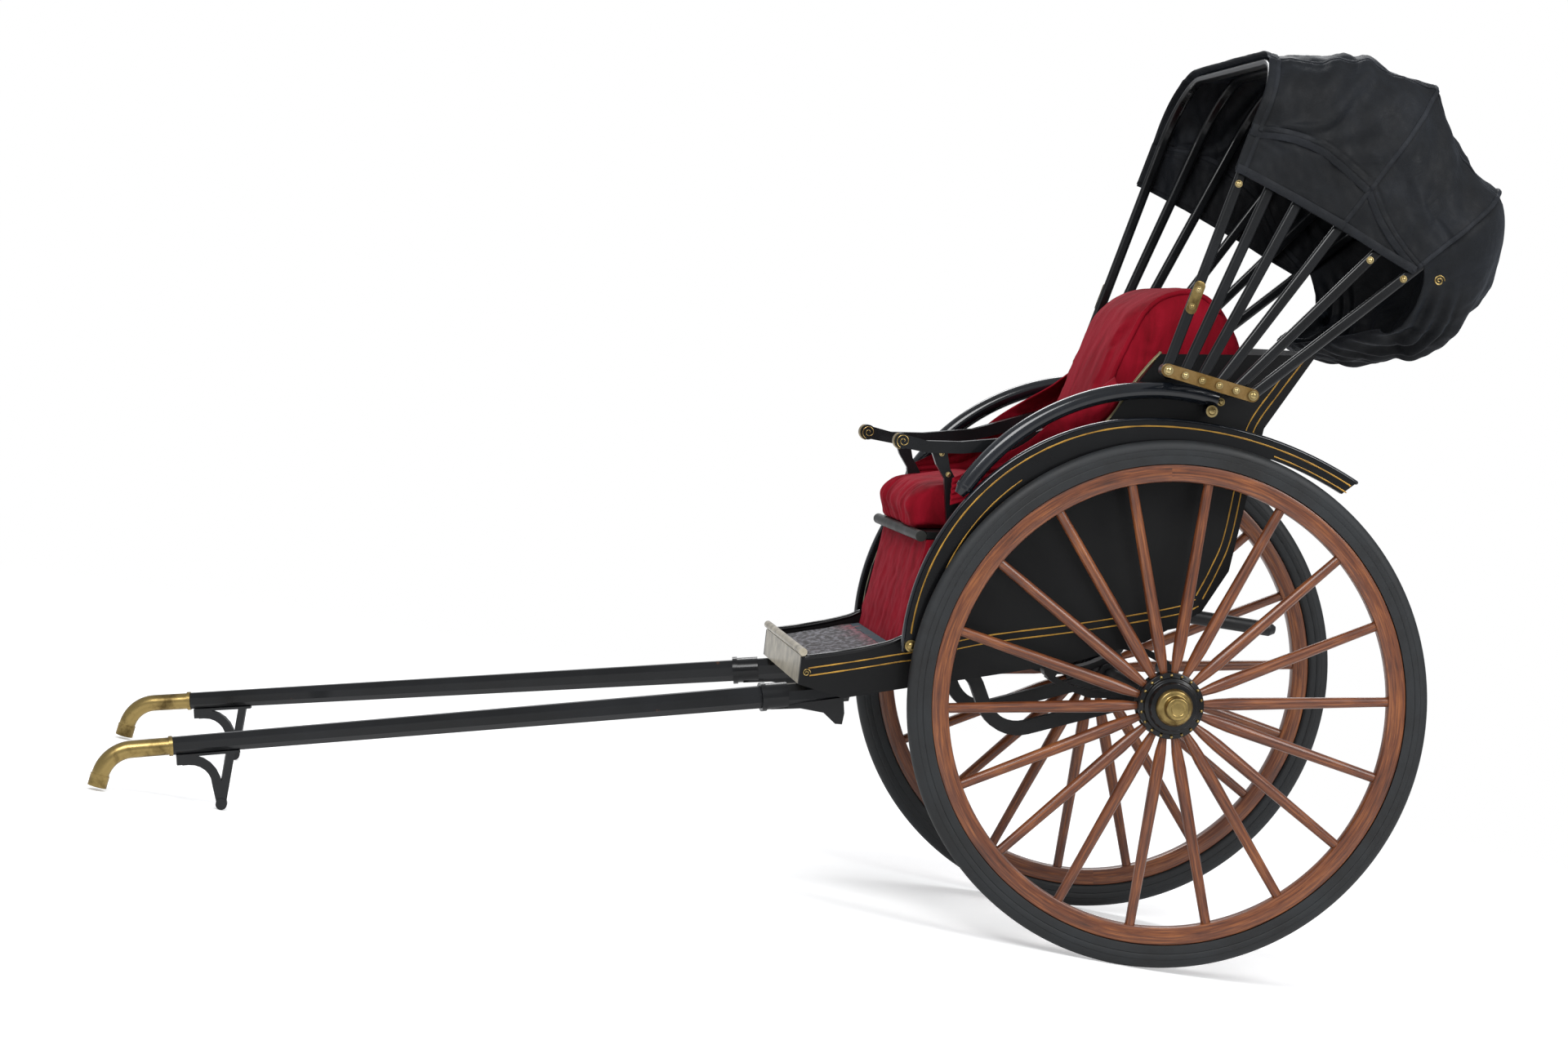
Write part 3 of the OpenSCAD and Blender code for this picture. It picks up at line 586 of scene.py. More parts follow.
def make_finishes():
    """All materials of the rickshaw, by a short name."""
    FINISHES.update(
        lacquer=lacquer("black lacquer", "#050506", "#0d0f11", 0.26, coat=0.35),
        worn=lacquer("worn black lacquer", "#0a0b0c", "#15171a", 0.3, wear=0.035, coat=0.35),
        panel=lacquer("satin black lacquer", "#060607", "#0e0f0f", 0.42, coat=0.08),
        rail=lacquer("polished black lacquer", "#0c0f13", "#1a1f26", 0.2, coat=0.8),
        iron=painted("black painted iron", "#090a0b", "#17191b", 0.45),
        wood=wood("varnished oak", "#341708", "#6a3517", "#9a5a2a"),
        brass=brass("toned brass", "#a8915c", "#655433", 0.26),
        rivet=brass("polished brass", "#cbb784", "#8d7848", 0.22),
        plate=brass("rolled brass", "#94794e", "#73592f", 0.4),
        gilt=painted("gold line paint", "#8c6624", "#c99a3e", 0.4, metal=0.4),
        rubber=rubber(),
        velvet=velvet(),
        canvas=canvas(),
        # The seam binding is paler than the canvas: partly rubbed wear, partly a painted highlight where the seams
        # catch the light.
        binding=canvas("seam binding paled for painted highlight", "#0f1113", "#191b1f", "#2a2d32"),
        mat=rush_mat(),
        tin=toe_paint(),
        rail_green=painted("grey green paint", "#0a0b08", "#181a14", 0.5),
        blue=painted("dark blue binding", "#10212c", "#254250", 0.7),
        # Pale paint for the beads: partly their own colour, partly a painted highlight along the moulding edges.
        beading=painted("pale bead paint with painted highlight", "#4b4a38", "#8a7d54", 0.4, metal=0.3),
    )


def put(obj, finish, body="carriage"):
    """Gives a new piece its material and its body."""
    obj.data.materials.clear()
    obj.data.materials.append(FINISHES[finish])
    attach(obj, body)
    return obj


def repaint(finish, *nodes):
    """Gives CAD nodes a better material."""
    for name in nodes:
        node = frame["nodes"][name]
        node.data.materials.clear()
        node.data.materials.append(FINISHES[finish])


# ---------- Wheels ----------
def spoke_set(side, count):
    """All spokes of one wheel: each is turned, thin at the hub, swelling and then tapering to the rim."""
    along = np.array([66, 74, 96, 130, 180, 260, 340, 420, 448])
    radius = np.array([7.6, 8.4, 11.2, 13.0, 12.6, 11.6, 10.8, 10.1, 10.0])
    profile = np.stack([radius, along], -1)
    angle = (np.arange(count) + 0.5) * 2 * np.pi / count
    spokes = [lathe(f"s{i}", profile, (0, side * WHEEL_Y, 0), (math.sin(a), 0, math.cos(a)), 20, True) for i,
        a in enumerate(angle)]
    return joined(f"{side_name(side)}_spoke_set", spokes)


def smooth_corners(p, cut):
    """Cuts each inner corner of an open profile by a small chamfer of two points."""
    out = [p[0]]
    for before, here, after in zip(p[:-2], p[1:-1], p[2:]):
        a, b = before - here, after - here
        la, lb = np.linalg.norm(a), np.linalg.norm(b)
        c = min(cut, la * 0.4, lb * 0.4)
        p0, p1 = here + a / la * c, here + b / lb * c
        out += [p0, (p0 + p1) / 2 * 0.6 + here * 0.4, p1]
    out.append(p[-1])
    return np.array(out)


def build_wheel(side, count):
    """Tyre, rim, spokes, hub, studs and cap of one wheel."""
    name = side_name(side)
    body, centre, axis = f"{name}_wheel", (0, side * WHEEL_Y, 0), (0, side, 0)
    r = WHEEL_R
    tyre = [(r - 47, -17), (r - 47, 17), (r - 40, 18.6), (r - 31, 18.8), (r - 29.5, 17.6), (r - 28, 18.6),
        (r - 19, 18.0),
            (r - 17.6, 16.6), (r - 16, 16.8), (r - 9, 14.6), (r - 4, 11.6), (r - 1.2, 7.0), (r, 2.5), (r, -2.5),
            (r - 1.2, -7.0),
            (r - 4, -11.6), (r - 9, -14.6), (r - 16, -16.8), (r - 17.6, -16.6), (r - 19, -18.0), (r - 28, -18.6),
            (r - 29.5, -17.6), (r - 31, -18.8), (r - 40, -18.6), (r - 47, -17)]
    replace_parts(put(lathe(f"{name}_rubber_tyre", tyre, centre, axis, 192), "rubber", body), f"{name}_tyre")
    rim = smooth_corners(np.array([(r - 47.2, 0), (r - 47.2, 16), (r - 83, 14), (r - 83, -14), (r - 47.2, -16),
        (r - 47.2, 0)], float), 5)
    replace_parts(put(lathe(f"{name}_felloe", rim, centre, axis, 192), "wood", body), f"{name}_rim")
    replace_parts(put(spoke_set(side, count), "wood", body), f"{name}_spokes")
    hub = smooth_corners(np.array([(16.1, -58), (36, -58), (36, -44), (47, -44), (47, -22), (66.5, -22), (66.5, -14),
        (48, -13),
                                   (48, 13), (66.5, 14), (66.5, 22), (57, 23), (56, 30), (49, 31), (47, 46),
                                   (16.1, 46), (16.1, -58)], float), 1.8)
    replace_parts(put(lathe(f"{name}_nave", hub, centre, axis, 96), "lacquer", body), f"{name}_hub")
    cap = smooth_corners(np.array([(0.01, 46.2), (38, 46.2), (37, 52), (33, 58), (26, 59), (23.4, 61), (23.4, 78),
        (21, 81.6), (14, 82), (13, 80.6),
                                   (9, 81.4), (0.01, 81.8)], float), 1.2)
    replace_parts(put(lathe(f"{name}_brass_cap", cap, centre, axis, 72), "brass", body), f"{name}_hub_cap")
    dome = np.array([(0.01, 4.0), (1.8, 3.6), (3.0, 2.2), (3.6, 0.0), (3.6, -1.0)])
    studs = []
    for i in range(count):
        a = i * 2 * math.pi / count
        place = (61.5 * math.sin(a), side * (WHEEL_Y + 22), 61.5 * math.cos(a))
        studs.append(lathe(f"t{i}", dome[::-1], place, axis, 10))
    put(joined(f"{name}_hub_studs", studs), "brass", body)


# ---------- Gold lines and beads ----------
def line(name, xz, y, width=2.6, finish="gilt", height=1.0):
    """A hand-painted line: a thin raised strip along an XZ path at one distance Y, wavering a little in width."""
    path = at_y(xz, y)
    wobble = 1 + 0.16 * np.sin(np.arange(len(path)) * 1.7) + 0.1 * np.sin(np.arange(len(path)) * 0.61)
    section = ring(1.0, 8) * [height / 2, width / 2]
    return put(sweep(name, path, section, scale=wobble, sharp=60), finish, "carriage")


def along_points(points, inset, count=60):
    """A smooth path through XZ points, set inwards to its left by inset."""
    p = smooth_path(points, count)
    d = np.gradient(p, axis=0)
    d /= np.linalg.norm(d, axis=1)[:, None]
    return p + inset * np.stack([-d[:, 1], d[:, 0]], -1)


def body_lines(side):
    """Double gold lines on the side panel's lower and rear edges and the fender's single lines and beads."""
    tag = side_name(side)
    y = side * (SIDE_Y + 0.3)
    low = np.array([(-716, 61), (-620, 74), (-533, 87), (-500, 92), (-371, 120), (-187, 142), (-60, 160), (40, 178),
        (74, 192)], float)
    rear = np.array([(82, 206), (112, 262), (140, 330), (170, 470), (186, 548), (240, 625), (286, 684)], float)
    for k, gap in enumerate((0, 15)):
        line(f"{tag}_gold_low_{k}", along_points(low, gap), y)
        line(f"{tag}_gold_rear_{k}", along_points(rear, gap), y)
    out = side * (FENDER_Y + 0.3)
    over = np.concatenate([arc(FENDER, 172, 91, 60, 11), arc(TAIL, 90, 57.5, 34, 11)])
    under = arc(FENDER, 171, 124, 30, 41)
    line(f"{tag}_gold_fender_top", over, out, 3.0)
    line(f"{tag}_gold_fender_foot", under, out, 2.6)
    tail_low = arc(TAIL, 57.5, 70, 16, 27)
    line(f"{tag}_gold_fender_tail", tail_low, out, 2.6)
    bead = at_y(np.concatenate([arc(FENDER, 176, 91, 80, -1.5), arc(TAIL, 90, 57, 34, -1.5)]), side * (FENDER_Y - 8))
    put(sweep(f"{tag}_fender_bead", bead, ring(9, 16, 0.5), rounded=5), "rail", "carriage")
    # The fender lip takes the pale bead paint, which is partly a painted highlight along the lip.
    lip = at_y(arc(FENDER, 176, 136, 40, 52.5), side * (FENDER_Y - 3))
    put(sweep(f"{tag}_fender_lip", lip, ring(3.6, 12)), "beading", "carriage")
    bolt = np.array([(0.01, 9), (5, 8.4), (8, 6), (9, 3), (12, 2.4), (12.5, 0), (12.5, -1)])
    place = (-518, side * FENDER_Y, 122)
    put(lathe(f"{tag}_fender_bolt", bolt[::-1], place, (0, side, 0), 24), "brass", "carriage")


def body_details(side):
    """Footwell rail and painted beads on the front edge and wing of one side panel. The pale paint on the beads is
    partly a painted highlight along the mouldings' edges.
    """
    tag = side_name(side)
    top = smooth_path([(-724, 94), (-640, 104), (-560, 120), (-528, 132)], 30)
    edge = at_y(top + [0, 2.2], side * (SIDE_Y - 7))
    put(sweep(f"{tag}_foot_rail", edge, ring(8.5, 16, 0.7), rounded=4), "lacquer", "carriage")
    edge = at_y(arc(FENDER, 172.5, 128, 50, 8.5), side * (SIDE_Y - 7))
    put(sweep(f"{tag}_panel_front_bead", edge, ring(6.2, 14, 0.6), rounded=3), "beading", "carriage")
    wing = smooth_path([(-121, 559), (-96, 587), (-70, 628), (-33, 674), (-6, 702)], 24)
    put(sweep(f"{tag}_wing_bead", at_y(wing, side * (SIDE_Y - 7)), ring(5.5, 14, 0.6), rounded=3), "beading",
        "carriage")


def build_body():
    """Repaints the CAD body and adds its rails, lines and toe mouldings."""
    repaint("panel", "left_side_panel", "right_side_panel", "back_panel", "floor_board", "underframe", "seat_board")
    repaint("lacquer", "left_fender", "right_fender", "hood_carriers", "sockets")
    repaint("rail", "left_side_rail", "right_side_rail")
    repaint("worn", "left_armrest", "right_armrest", "left_shaft", "right_shaft", *[f"{n}_bow" for n in BOW_NAMES])
    repaint("iron", "axle", "springs", "braces", "rear_bar", "left_stand", "right_stand")
    repaint("brass", "left_grip", "right_grip")
    repaint("plate", "left_hood_plate", "right_hood_plate")
    repaint("tin", "toe_edge", "toe_board")
    repaint("rail_green", "seat_rail")
    for side in (-1, 1):
        body_lines(side)
        body_details(side)


def cushion_block(name, outline, half_y, crown, seed, wrinkle, nx=90, ny=96):
    """A stuffed block: a closed XZ outline carried across Y, its ends rounded in over the last part of the width
    and its skin raised and wrinkled by seeded noise. outline is a closed loop, crown lifts the middle in mm."""
    loop = smooth_loop(outline, nx)
    mid = loop.mean(0)
    t = np.linspace(-1, 1, ny)
    end = (1 - np.abs(t) ** 9) ** (1 / 4.5)
    y = half_y * np.sign(t) * (1 - (1 - np.abs(t)) ** 1.7)
    rel = loop - mid
    norm = rel / np.linalg.norm(rel, axis=1)[:, None]
    points = np.zeros((ny, nx, 3))
    points[..., 0] = mid[0] + rel[None, :, 0] * end[:, None]
    points[..., 2] = mid[1] + rel[None, :, 1] * end[:, None]
    points[..., 1] = y[:, None]
    swell = crown * (1 - t**2)[:, None] * np.maximum(norm[None, :, 1], 0)
    points[..., 2] += swell
    folds = wrinkle * (waves(points * [1.0, 3.0, 1.0], seed, 170, 3)) * end[:, None]
    points[..., 0] += norm[None, :, 0] * folds
    points[..., 2] += norm[None, :, 1] * folds
    return grid_object(name, points, closed_cols=True, capped=True, sharp=80)


def smooth_loop(points, count):
    """A closed Catmull-Rom curve through the points."""
    p = np.asarray(points, float)
    n = len(p)
    s = np.linspace(0, n, count, endpoint=False)
    i, t = s.astype(int), (s % 1)[:, None]
    a, b, c, d = p[(i - 1) % n], p[i % n], p[(i + 1) % n], p[(i + 2) % n]
    return 0.5 * (2 * b + (c - a) * t + (2 * a - 5 * b + 4 * c - d) * t**2 + (3 * b - a - 3 * c + d) * t**3)


def build_cushions():
    """Seat cushion with a rolled front, rounded backrest and padded riser, all in velvet."""
    seat = cushion_block("velvet_seat", [(-500, 366), (-497, 352), (-470, 346.5), (-300, 346.5), (-72, 347),
        (-66, 380), (-80, 424), (-300, 430), (-430, 430),
                                         (-486, 420), (-507, 396)], 225, 6, 4, 7.0)

    def on_board(p):
        """Keeps the seat cushion on its board and under the backrest."""
        top = np.where(p[:, 0] > -160, 433.0, 900.0)
        p[:, 2] = np.clip(p[:, 2], 345.8, top)
        p[:, 0] = np.minimum(p[:, 0], -66.5)
        return p

    stuffed(seat, 0.009, on_board)
    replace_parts(put(seat, "velvet"), "seat_cushion")
    rest = cushion_block("velvet_backrest", [(-70, 436), (-128, 440), (-141, 480), (-134, 540), (-100, 645),
        (-50, 752), (-12, 806), (34, 832), (96, 834),
                                             (150, 790), (190, 700), (180, 560), (130, 440), (92, 352), (20, 349),
                                             (-58, 350), (-64, 400)], 224, 3, 11, 1.8, nx=170)

    def over_seat(p):
        """Keeps the backrest on the seat board, above the cushion and off the panel behind it."""
        low = np.where(p[:, 0] < -65, 435.0, 345.8)
        p[:, 2] = np.maximum(p[:, 2], low)
        return p

    stuffed(rest, 0.008, over_seat, 0.0066)
    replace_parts(put(rest, "velvet"), "backrest")
    front = smooth_path([(-140, 476), (-135, 540), (-101, 645), (-51, 752), (-13, 806), (34, 832), (92, 834),
        (146, 792)], 60)
    for side in (-1, 1):
        tag = side_name(side)
        put(sweep(f"{tag}_backrest_welt", laid_on(at_y(front, side * 222), rest, 0.002), ring(5.5, 14), rounded=6),
            "velvet")
    # Riser: a thin padded board between floor and seat, quilted by low sagging swells
    u, v = np.meshgrid(np.linspace(0, 1, 60), np.linspace(-1, 1, 100), indexing="ij")
    puff = 7 * (1 - np.abs(v) ** 6) * np.sin(np.pi * u) ** 0.4 + 3.0 * waves(np.stack([u * 220, v * 280], -1), 5, 90,
        3)
    front = np.stack([-533 + 57 * u - np.clip(puff, 0, 12), v * (INNER_Y - 1), 106 + 223 * u], -1)
    rear = np.stack([-533 + 57 * u + 20, v * (INNER_Y - 1), 109 + 220 * u], -1)
    points = np.concatenate([front, rear[::-1]], 0)
    riser = grid_object("velvet_riser", np.swapaxes(points, 0, 1), closed_cols=True, capped=True, sharp=60)
    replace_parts(put(riser, "velvet"), "riser")


def build_drapes(side):
    """Velvet side cloth: from the backrest's edge down over the panel's top to the armrest, in soft folds."""
    tag = side_name(side)
    n, m = 70, 60
    u = np.linspace(0, 1, n)
    top = smooth_path([(-425, 452), (-350, 486), (-280, 520), (-230, 558), (-180, 590), (-126, 622), (-84, 652)], n)
    low = smooth_path([(-430, 398), (-350, 420), (-270, 434), (-200, 444), (-132, 470), (-90, 520)], n)
    v = np.linspace(0, 1, m)
    xz = low[:, None] * (1 - v)[None, :, None] + top[:, None] * v[None, :, None]
    lean = np.clip((v - 0.72) / 0.28, 0, 1)[None, :] ** 1.5
    inward = 3 + 54 * np.clip((u - 0.45) / 0.4, 0, 1)[:, None] * lean
    y = INNER_Y - 6 - inward
    points = np.stack([xz[..., 0], np.broadcast_to(y, xz.shape[:2]), xz[..., 1]], -1)
    fold = 5 * np.sin(14 * v[None, :] + 5 * u[:, None] + 2 * waves(points[..., [0, 2]], 3, 200, 1))
    points[..., 1] -= np.abs(fold) * np.sin(np.pi * np.clip(v, 0.02, 0.98))[None, :]
    points[..., 1] *= side
    cloth = grid_object(f"{tag}_velvet_side", points, sharp=80, tidy=False)
    put(thickened(cloth, 0.003, 0), "velvet")


def build_mat():
    """Floor mat with a red binding and a blue strip at the riser's foot."""
    n, m = 60, 100
    x, y = np.meshgrid(np.linspace(-712, -538, n), np.linspace(-288, 288, m), indexing="ij")
    z = 74 + (x + 732) * math.tan(math.radians(FOOT_SLOPE)) + 5.2 + 0.8 * waves(np.stack([x, y], -1), 8, 60, 2)
    mat = grid_object("woven_mat", np.stack([x, y, z], -1), tidy=False)
    put(thickened(mat, 0.004, -1), "mat")
    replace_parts(mat, "floor_mat")
    strip = np.stack([np.full(40, -545.0), np.linspace(-280, 280, 40), np.full(40, 110.0)], -1)
    section = np.array([(-9, -1.5), (9, -1.5), (9, 1.5), (-9, 1.5)])
    blue = np.stack([strip[:, 0:1] + section[None, :, 0], np.broadcast_to(strip[:, 1:2], (40, 4)),
        strip[:, 2:3] + section[None, :, 1] + 0.15 * section[None, :, 0]], -1)
    put(grid_object("mat_binding", blue, closed_cols=True, capped=True), "blue")


# ---------- Hood ----------
# Places inside the hood and the curtain that their cloths face away from
HOOD_MIDDLE, CURTAIN_MIDDLE = (280, 0, 950), (350, 0, 1000)


def outward(points, middle):
    """Unit normals of a grid from the cross product of its two finite differences, turned away from a middle
    point."""
    normal = np.cross(np.gradient(points, axis=1), np.gradient(points, axis=0))
    normal /= np.linalg.norm(normal, axis=-1)[..., None] + 1e-9
    return normal * np.sign(((points - np.array(middle, float)) * normal).sum(-1))[..., None]


def flap_line(along):
    """Share of the arch at the side flap's edge: it falls from 0.225 to 0.03 from the front to the rear bow."""
    return 0.225 - 0.195 * np.clip(along / 5, 0, 1) ** 1.25


def bow_outline(i, grow):
    """The arch of bow i, grown outwards: along its plane from the left hem over the crown to the right hem.
    Gives the pivot, the leg's direction, the leg's start at the hem, the crown's reach, half the width and the
    shoulder's radius."""
    angle, reach = math.radians(BOWS[i, 0]), BOWS[i, 1] + grow
    pivot = PLATE_AT + PITCH * i * np.array([math.cos(math.radians(PLATE_SLOPE)),
        -math.sin(math.radians(PLATE_SLOPE))])
    direction = np.array([math.cos(angle), math.sin(angle)])
    along = HEM[1] - HEM[0]
    cross = direction[0] * along[1] - direction[1] * along[0]
    start = ((HEM[0] - pivot)[0] * along[1] - (HEM[0] - pivot)[1] * along[0]) / cross
    half, r = BOW_Y + 7 + grow, SHOULDER_R + grow
    return pivot, direction, start - 4, reach, half, r


def arch_points(i, grow, share, squeeze=0.0):
    """Points on bow i's grown arch for an array of shares: 0 left hem, 0.28 shoulder, 0.42 roof, 0.5 the middle."""
    pivot, direction, start, reach, half, r = bow_outline(i, grow)
    s = np.minimum(share, 1 - share)
    side = np.where(share < 0.5, -1.0, 1.0)
    leg = np.clip(s / 0.26, 0, 1)
    turn = np.clip((s - 0.26) / 0.12, 0, 1) * np.pi / 2
    roof = np.clip((s - 0.38) / 0.12, 0, 1)
    d = start + leg * (reach - r - start) + r * np.sin(turn)
    y = half - r * (1 - np.cos(turn)) - roof * (half - r)
    return np.stack([pivot[0] + d * direction[0], side * (y - squeeze), pivot[1] + d * direction[1]], -1)


def build_hood():
    """Canvas over the bows: flat gores between neighbouring arches, slack and wrinkled, with hems, seams and a
    front roll."""
    share = np.linspace(0, 1, 361)
    steps = 26
    stations = np.linspace(0, 5, 5 * steps + 1)
    arches = np.stack([arch_points(i, 7.5, share) for i in range(6)])
    lower = np.minimum(stations.astype(int), 4)
    part = (stations - lower)[:, None, None]
    points = arches[lower] * (1 - part) + arches[lower + 1] * part
    front = arch_points(0, 9.0, share)
    front_angle = math.radians(BOWS[0, 0])
    ahead = np.array([-math.sin(front_angle), 0, math.cos(front_angle)])
    lip = np.stack([front + ahead * k for k in (20.0, 13.0, 5.0)])
    points = np.concatenate([lip, points[1:]])
    along = np.concatenate([[-0.06, -0.03, -0.01], stations[1:]])[:, None]
    part = np.clip(along, 0, 5) % 1
    s = np.minimum(share, 1 - share)[None, :]
    normal = outward(points, HOOD_MIDDLE)
    gap = np.sin(np.pi * part)
    width = np.array([-4, -4, 3, 8, 6, 6], float)[np.minimum(np.clip(along, 0, 5).astype(int), 5)]
    sag = -width * gap**1.2 * (0.5 + 0.5 * bump_line(s, 0.42, 0.2))
    # Long folds that run front to rear near the shoulder, and crossing soft creases
    fan = s * 2400 + 26 * np.sin(along * 1.3) + 90 * waves(np.stack([along * 120 + 0 * s, s * 900 + 0 * along], -1),
        21, 420, 1)
    shoulder = bump_line(s, 0.30, 0.10)
    folds = 5.0 * shoulder * (0.35 + 0.65 * np.sin(np.pi * np.clip(along / 5, 0,
        1)) ** 0.7) * np.sin(fan * 2 * np.pi / 150)
    soft = 5.0 * waves(points * [1, 0.7, 1], 22, 300, 3)
    cross = 2.2 * waves(points * [1.8, 1, 1], 23, 90, 3)
    lift = sag + folds + soft + cross
    edge = np.clip(s / 0.03, 0, 1) * np.clip((along + 0.06) / 0.25, 0.25, 1)
    lift = lift * edge
    # Flap from the front shoulder down to the rear hem: its edge stands proud, with a stitched line above it
    flap = flap_line(along)
    inside = np.clip((along + 0.06) / 0.1, 0, 1)
    lift += inside * (4.5 * np.clip((s - flap) / 0.004, 0,
        1) * np.exp(-np.clip(s - flap, 0, 1) / 0.05) - 1.5 * bump_line(s, flap - 0.004, 0.004))
    lift += inside * (-1.6 * bump_line(s, flap + 0.022, 0.003))
    # Ridge along the roof's edge, the hem's stitched fold, one cross seam and the rolled front
    lift += 3.5 * bump_line(s, 0.335, 0.005) - 1.5 * bump_line(s, 0.345, 0.004)
    lift += 2.0 * bump_line(s, 0.010, 0.008) - 1.2 * bump_line(s, 0.022, 0.003)
    lift += 1.6 * bump_line(along, 2.97, 0.03) - 2.2 * bump_line(along, 3.03, 0.02)
    lift += 3.0 * bump_line(along, -0.03, 0.05)
    # Bunched pleat at the front shoulders
    lift += 10 * bump_line(s, 0.30, 0.035) * bump_line(along, 0.05, 0.5) - 7 * bump_line(s, 0.262,
        0.012) * bump_line(along, 0.1, 0.6)
    # The cloth may sink 5 mm over a bow and 34 mm between two
    room = np.where(part * (1 - part) < 0.02, -5.0, -34.0)
    points = points + normal * np.maximum(lift, room)[..., None]
    stations = np.broadcast_to(along, points.shape[:2])[:, 0]
    run = np.linspace(-0.05, 5, 150)
    tapes = [surface_tape(points, normal, stations, share, run, flip(flap_line(run), k), 24, 2.8) for k in (0, 1)]
    tapes += [surface_tape(points, normal, stations, share, run, flip(0.34 + 0 * run, k), 8, 3.0) for k in (0, 1)]
    tapes += [surface_tape(points, normal, stations, share, run, flip(0.013 + 0 * run, k), 17, 2.4) for k in (0, 1)]
    whole = np.linspace(0.004, 0.996, 260)
    tapes += [surface_tape(points, normal, stations, share, at + 0 * whole, whole, 9, 2.8) for at in (3.0, 4.97,
        0.02)]
    tape = joined("canvas_hood_tapes", tapes)
    # The tapes get the paler binding finish, which paints the highlight along the seams.
    tape.data.materials.clear()
    tape.data.materials.append(FINISHES["binding"])
    hood = face_away(grid_object("canvas_hood", points, sharp=80, tidy=False), HOOD_MIDDLE)
    apply_modifiers(thickened(hood, 0.0024, -1))
    hood.data.materials.clear()
    hood.data.materials.append(FINISHES["canvas"])
    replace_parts(hood, "hood_cloth")
    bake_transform(hood)
    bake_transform(tape)


def flip(share, other):
    """The same line on the other side of the hood."""
    return 1 - share if other else share


def surface_tape(points, normal, stations, share, along, across, width, proud):
    """A sewn tape laid on a cloth grid: for each place (along, across) the surface point and its normal are read
    between the grid's points, and a flat bar of the given width is carried along them, standing proud of the cloth."""
    i = np.clip(np.searchsorted(stations, along) - 1, 0, len(stations) - 2)
    j = np.clip(np.searchsorted(share, across) - 1, 0, len(share) - 2)
    p = ((along - stations[i]) / (stations[i + 1] - stations[i]))[:, None]
    q = ((across - share[j]) / (share[j + 1] - share[j]))[:, None]
    place, up = [(g[i, j] * (1 - p) + g[i + 1, j] * p) * (1 - q) + (g[i, j + 1] * (1 - p) + g[i + 1,
        j + 1] * p) * q for g in (points, normal)]
    forward = np.gradient(place, axis=0)
    forward /= np.linalg.norm(forward, axis=1)[:, None]
    side = np.cross(forward, up)
    side /= np.linalg.norm(side, axis=1)[:, None]
    half = width / 2
    section = np.array([(-half, -2.0), (-half, proud * 0.6), (-half + 1.5, proud), (half - 1.5, proud),
        (half, proud * 0.6), (half, -2.0)])
    grid = place[:, None] + section[None, :, :1] * side[:, None] + section[None, :, 1:] * up[:, None]
    return grid_object("tape", grid, closed_cols=True, capped=True, sharp=50)


def laid_on(path, obj, lift):
    """Moves each point of a level-frame path to the nearest place on a mesh, lifted along its normal (m)."""
    hits = [obj.closest_point_on_mesh(p.tolist()) for p in row(path)]
    return level(np.array([np.array(place) + lift * np.array(normal) for _, place, normal, _ in hits]))


def curl(centre, radius, pitch, turns, start=0.0, way=1):
    """An inward spiral in XZ: the radius falls by the pitch each half turn, over the given number of half turns."""
    t = np.linspace(0, turns * np.pi, 56)
    r = radius - pitch * t / np.pi
    return np.stack([centre[0] + r * np.cos(start + way * t), centre[1] + r * np.sin(start + way * t)], -1)


def apply_modifiers(obj):
    """Bakes an object's modifiers into its mesh."""
    graph = bpy.context.evaluated_depsgraph_get()
    mesh = bpy.data.meshes.new_from_object(obj.evaluated_get(graph))
    old = obj.data
    obj.modifiers.clear()
    obj.data = mesh
    bpy.data.meshes.remove(old)


def build_curtain():
    """Rear curtain: gathered canvas that hangs from the rear bow, bellies out behind and is bunched on the
    back panel."""
    n, m = 90, 200
    share = np.linspace(0, 1, m)
    w = np.linspace(0, 1, n)
    top = arch_points(5, 4.0, 0.06 + 0.88 * share)
    t = 2 * share - 1
    foot = np.stack([330 + 110 * np.abs(t) ** 2, 318 * np.sign(t) * np.abs(t) ** 0.9, 716 + 34 * np.abs(t) ** 2], -1)
    points = top[None] * (1 - w)[:, None, None] + foot[None] * w[:, None, None]
    belly = np.sin(np.pi * w) ** 0.62
    amount = 40 + 132 * (1 - np.abs(t) ** 2.6)
    points[..., 0] += 0.66 * amount[None, :] * belly[:, None]
    points[..., 2] -= 0.75 * amount[None, :] * belly[:, None]
    points[..., 1] += -14 * t[None, :] * belly[:, None]
    gather = np.clip(w * 1.4, 0, 1)[:, None]
    pleat = np.sin(share[None, :] * 2 * np.pi * 13 + 2.2 * waves(np.stack([share[None, :] * 900 + 0 * w[:, None],
        w[:, None] * 500 + 0 * share[None, :]], -1), 31, 400, 1))
    soft = waves(points, 32, 130, 4)
    lift = gather * (9 * pleat * np.sin(np.pi * w)[:, None] ** 0.4 + 15 * soft * np.sin(np.pi * w)[:, None] ** 0.5)
    normal = outward(points, CURTAIN_MIDDLE)
    points = points + normal * lift[..., None]
    curtain = face_away(grid_object("canvas_curtain", points, sharp=80, tidy=False), CURTAIN_MIDDLE)
    apply_modifiers(thickened(curtain, 0.0024, -1))
    put(curtain, "canvas")
    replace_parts(curtain, "rear_curtain")


def rivet(name, place, side, radius, body="carriage", height=5.0, finish="rivet"):
    """A domed rivet head with a flat washer, facing outwards."""
    h, r = height, radius
    dome = np.array([(r * 1.5, -0.6), (r * 1.5, 0.8), (r, 1.0), (r * 0.96, h * 0.5), (r * 0.7, h * 0.86),
        (r * 0.35, h * 0.98), (0.01, h)])
    return put(lathe(name, dome, place, (0, side, 0), 20), finish, body)


